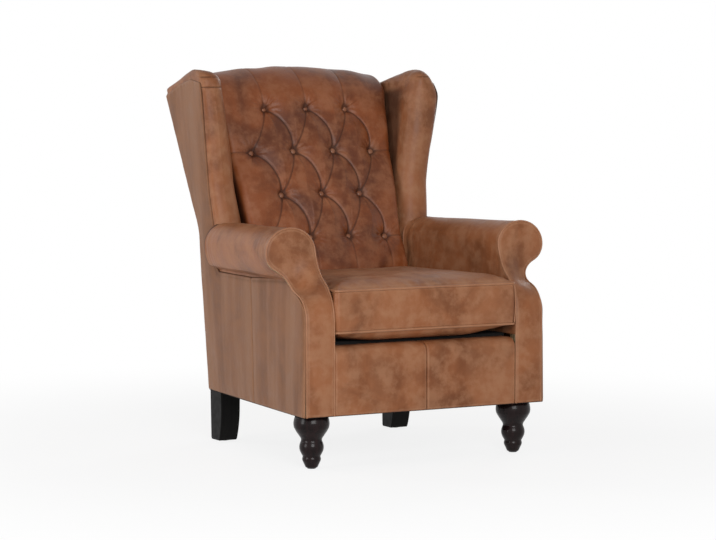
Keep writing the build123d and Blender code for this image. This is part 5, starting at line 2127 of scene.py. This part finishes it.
    def build(self) -> None:
        """Make the cushion and its piping, and finish its zip."""
        make = self.wardrobe.make
        top = make("cushion_top", self.top(), Finish.LEATHER,
                   ["cushion_top_panel", "cushion_core"], body=CUSHION_BODY)
        make("cushion_underside", self.belly(), Finish.LEATHER, ["cushion_bottom_panel"],
             body=CUSHION_BODY)
        make("cushion_boxing_band", self.boxing(), Finish.LEATHER, ["cushion_boxing"],
             body=CUSHION_BODY)
        cords = self.piping(self.low_z).joined(self.piping(self.high_z)).joined(self.corner_welt())
        make("cushion_piping_cords", cords, Finish.PIPING, ["cushion_piping"], body=CUSHION_BODY)
        self.wardrobe.repaint(Finish.CLOTH, "cushion_zip")
        self.wardrobe.repaint(Finish.BRASS, "zip_slider")


@dataclass
class Legs:
    """Two turned front legs and two square sabre rear legs."""

    wardrobe: Wardrobe
    front: Pair = (320.0, 68.0)
    rear_x: float = 285.0
    rear_depths: Triple = (629.0, 646.0, 699.0)
    rear_halves: Pair = (31.0, 28.5)
    bend_z: float = 90.5
    softening: float = 2.0
    top_z: float = 146.0
    low_z: float = 3.0

    def front_profile(self) -> Array:
        """Half profile of the turned leg, from top to foot.

        Returns:
            Rows of radius and height.
        """
        knots = [(40.0, 146.0), (44.5, 142.0), (47.2, 134.0), (48.6, 126.0), (48.8, 119.0),
                 (47.4, 111.0), (41.5, 100.5), (36.6, 93.5), (32.6, 87.5), (29.2, 82.5),
                 (28.0, 78.5), (28.8, 74.5), (30.8, 70.0), (32.8, 63.5), (33.2, 57.0),
                 (32.4, 51.0), (30.4, 45.6), (27.0, 39.0), (24.4, 35.0), (23.6, 33.0),
                 (24.6, 30.5), (25.6, 27.0), (25.4, 24.0), (24.0, 20.0), (21.4, 15.0),
                 (19.2, 10.0), (17.5, 6.0), (16.2, 3.4), (14.8, 3.0)]
        line = np.array(knots)
        ways = np.concatenate([[0], np.cumsum(np.linalg.norm(np.diff(line, axis=0), axis=1))])
        finer = np.linspace(0, ways[-1], 120)
        smooth = np.column_stack([np.interp(finer, ways, line[:, 0]),
                                  np.interp(finer, ways, line[:, 1])])
        for _ in range(3):
            smooth[1:-1] += 0.25 * (smooth[:-2] + smooth[2:] - 2 * smooth[1:-1])
        return smooth

    def rear_mesh(self) -> Mesh:
        """Sabre leg with softened edges.

        Returns:
            The leg's mesh.
        """
        foot_share = 0.96
        top, foot, far = self.rear_depths
        rings = []
        for z in (self.top_z, *np.linspace(136.0, 8.0, 22), self.low_z):
            share = (self.top_z - z) / (self.top_z - self.low_z)
            bend = max(0.0, (self.bend_z - z) / (self.bend_z - self.low_z))
            near = blend_value(top, foot, bend**2)
            half = blend_value(*self.rear_halves, share)
            left, right = self.rear_x - half, self.rear_x + half
            ring = rounded([(x, y, self.softening) for x, y in
                            ((left, near), (right, near), (right, far), (left, far))], steps=4)
            if z == self.low_z:
                centre = ring.mean(axis=0)
                ring = centre + (ring - centre) * foot_share
            rings.append(np.column_stack([ring, np.full(len(ring), z)]))
        return loft(rings, flip=True)

    def build(self) -> None:
        """Make the four legs and finish what holds them."""
        for side in Side:
            word = side.word
            self.wardrobe.make(f"turned_leg_{word}", lathe(self.front_profile(), self.front),
                               Finish.TURNED, [f"front_leg_{word}"], side=side)
            self.wardrobe.make(f"sabre_leg_{word}", self.rear_mesh(), Finish.SABRE,
                               [f"rear_leg_{word}"], side=side, smooth=False)
        self.wardrobe.repaint(Finish.PLASTIC, "leg_glides")
        self.wardrobe.repaint(Finish.STEEL, "leg_bolts")


@dataclass
class Inside:
    """What the leather hides: timber frame, webbing, deck and dust cover."""

    wardrobe: Wardrobe
    single_timbers: tuple[str, ...] = ("front_seat_rail", "rear_seat_rail", "corner_blocks",
                                       "top_back_rail", "lower_back_rail")
    paired_timbers: tuple[str, ...] = ("side_seat_rail", "arm_post", "arm_rail", "back_post",
                                       "back_upright", "wing_board")

    def deck(self) -> None:
        """Black deck cloth over its foam, seen when the cushion is lifted."""
        low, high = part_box("deck_foam")
        size = (np.array(high) - np.array(low)) / MM
        columns, rows = 40, 30
        x = np.linspace(-size[0] / 2, size[0] / 2, columns)
        y = np.linspace((low.y - DEPTH_SHIFT) / MM, (high.y - DEPTH_SHIFT) / MM, rows)
        across, along = np.meshgrid(x, y)
        top = (high.z / MM) - 0.2
        sag = 1.2 * np.cos(across / size[0] * math.pi) * np.cos(
            (along - y.mean()) / size[1] * math.pi)
        cloth = np.dstack([across, along, np.full(across.shape, top + 2.0) - sag])
        cloth[0, :, 1] -= 1.5
        cloth[0, :, 2] = low.z / MM
        cloth[1, :, 1] = cloth[0, :, 1]
        faces = grid_faces(rows, columns)
        piece = self.wardrobe.make("deck_lining", Mesh(cloth.reshape(-1, 3), faces),
                                   Finish.CLOTH, ["deck_cloth"])
        shell = np.dstack([across, along, np.full(across.shape, top) - sag]).reshape(-1, 3)
        under = shell.copy()
        under[:, 2] = low.z / MM + 0.2
        count = len(shell)
        numbers = np.arange(count).reshape(rows, columns)
        rim = [int(k) for k in np.concatenate([numbers[0], numbers[1:, -1],
                                               numbers[-1, -2::-1], numbers[-2:0:-1, 0]])]
        faces = two_skins(faces, count)
        for here, there in zip(rim, rim[1:] + rim[:1]):
            faces.append((there, here, here + count, there + count))
        pad = self.wardrobe.make("deck_padding", Mesh(np.vstack([shell, under]), faces),
                                 Finish.FOAM, ["deck_foam"])

    def build(self) -> None:
        """Finish every hidden piece."""
        paired = [f"{name}_{side.word}" for name in self.paired_timbers for side in Side]
        self.wardrobe.repaint(Finish.WOOD, *self.single_timbers, *paired)
        self.wardrobe.repaint(Finish.WEBBING, "seat_webbing", "back_webbing")
        self.wardrobe.repaint(Finish.CLOTH, "dust_cover")
        self.deck()


@dataclass(frozen=True)
class Studio:
    """Camera, pale floor and soft lamps."""

    lens: float = 132.16
    camera_place: Triple = (-3.6151, -6.1216, 1.0647)
    azimuth: float = -29.05
    elevation: float = 4.32
    floor_reach: float = 12.0
    floor_white: float = 0.84
    floor_fade: Pair = (0.7, 2.2)
    world_level: float = 0.235
    lamp_aim: float = 0.55

    def camera(self) -> None:
        """Set the camera where the photograph was taken."""
        data = bpy.data.cameras.new("camera")
        data.lens = self.lens
        data.sensor_width = 36.0
        camera = bpy.data.objects.new("camera", data)
        a, e = math.radians(self.azimuth), math.radians(self.elevation)
        back = Vector((math.sin(a) * math.cos(e), -math.cos(a) * math.cos(e), math.sin(e)))
        camera.location = Vector(self.camera_place) + Vector((0, DEPTH_SHIFT, 0))
        camera.rotation_mode = "QUATERNION"
        camera.rotation_quaternion = (-back).to_track_quat("-Z", "Y")
        bpy.context.scene.collection.objects.link(camera)
        bpy.context.scene.camera = camera

    def floor(self) -> None:
        """Plain pale floor that turns to white away from the chair."""
        reach = self.floor_reach
        data = bpy.data.meshes.new("floor")
        data.from_pydata([(-reach, -reach, 0), (reach, -reach, 0), (reach, reach, 0),
                          (-reach, reach, 0)], [], [(0, 1, 2, 3)])
        floor = bpy.data.objects.new("floor", data)
        made, nodes, shader = new_material("pale_floor")
        place = nodes.place()
        cloud = nodes.spread(nodes.noise(place, scale=3.0), 0.3, 0.7)
        nodes.feed(shader, {
            "Base Color": nodes.mix(cloud, (0.93, 0.93, 0.93, 1), (0.95, 0.95, 0.95, 1)),
            "Roughness": 0.9,
            "Specular IOR Level": 0.1,
        })
        path = nodes.add("ShaderNodeLightPath").outputs
        seen = nodes.math("MAXIMUM", path["Is Camera Ray"], path["Is Glossy Ray"])
        away = nodes.add("ShaderNodeVectorMath", {"0": place}, operation="LENGTH")
        far = nodes.spread(away.outputs["Value"], *self.floor_fade, to_low=self.floor_white)
        white = nodes.add("ShaderNodeEmission", {"Color": (1, 1, 1, 1), "Strength": 1.0})
        mixed = nodes.add("ShaderNodeMixShader", {"0": nodes.times(seen, far),
                                                  "1": shader.outputs[0],
                                                  "2": white.outputs[0]})
        nodes.feed(made.node_tree.nodes["Material Output"], {"Surface": mixed.outputs[0]})
        data.materials.append(made)
        bpy.context.scene.collection.objects.link(floor)

    def lamp(self, name: str, place: Triple, size: Pair, power: float) -> None:
        """Add one soft lamp that faces the chair.

        Args:
            name: The lamp's name.
            place: Where it stands, in metres.
            size: Its width and height in metres.
            power: Its power in watts.
        """
        data = bpy.data.lights.new(name, "AREA")
        data.shape = "RECTANGLE"
        data.size, data.size_y = size
        data.energy = power
        lamp = bpy.data.objects.new(name, data)
        lamp.location = place
        lamp.rotation_mode = "QUATERNION"
        aim = Vector((0, 0, self.lamp_aim)) - Vector(place)
        lamp.rotation_quaternion = aim.to_track_quat("-Z", "Y")
        bpy.context.scene.collection.objects.link(lamp)

    def world(self) -> None:
        """Surroundings that light at a plain level and are seen as white."""
        world = bpy.data.worlds.new("studio")
        bpy.context.scene.world = world
        world.use_nodes = True
        nodes = Nodes(world.node_tree)
        lit = world.node_tree.nodes["Background"]
        nodes.feed(lit, {"Color": (1, 1, 1, 1), "Strength": self.world_level})
        seen = nodes.add("ShaderNodeBackground", {"Color": (1, 1, 1, 1), "Strength": 1.0})
        path = nodes.add("ShaderNodeLightPath").outputs
        shown = nodes.math("MAXIMUM", path["Is Camera Ray"], path["Is Transmission Ray"])
        shown = nodes.math("MAXIMUM", shown, path["Is Glossy Ray"])
        mixed = nodes.add("ShaderNodeMixShader", {"0": shown, "1": lit.outputs[0],
                                                  "2": seen.outputs[0]})
        nodes.feed(world.node_tree.nodes["World Output"], {"Surface": mixed.outputs[0]})

    def build(self) -> None:
        """Set the stage."""
        self.camera()
        self.floor()
        self.world()
        self.lamp("front", place=(-1.3, -4.2, 1.6), size=(2.0, 1.8), power=108.0)
        self.lamp("left", place=(-3.9, -0.5, 1.0), size=(1.2, 1.6), power=44.0)
        self.lamp("rear_left", place=(-2.6, 2.4, 2.2), size=(0.7, 1.6), power=20.0)
        self.lamp("rear_right", place=(3.0, 2.0, 1.6), size=(0.8, 2.0), power=24.0)
        bpy.context.scene.view_settings.view_transform = "Standard"


def main() -> None:
    """Build the stage and every piece of the chair in order."""
    logging.basicConfig(level=logging.INFO, format="%(name)s %(message)s")
    Studio().build()
    wardrobe = Wardrobe()
    Legs(wardrobe).build()
    Inside(wardrobe).build()
    for side in Side:
        SidePanels(wardrobe, side).build()
        Arm(wardrobe, side).build()
        ArmFront(wardrobe, side).build()
        Wing(wardrobe, side).build()
    Back(wardrobe).build()
    OutsideBack(wardrobe).build()
    FrontBorder(wardrobe).build()
    Cushion(wardrobe).build()


if __name__ == "__main__":
    main()
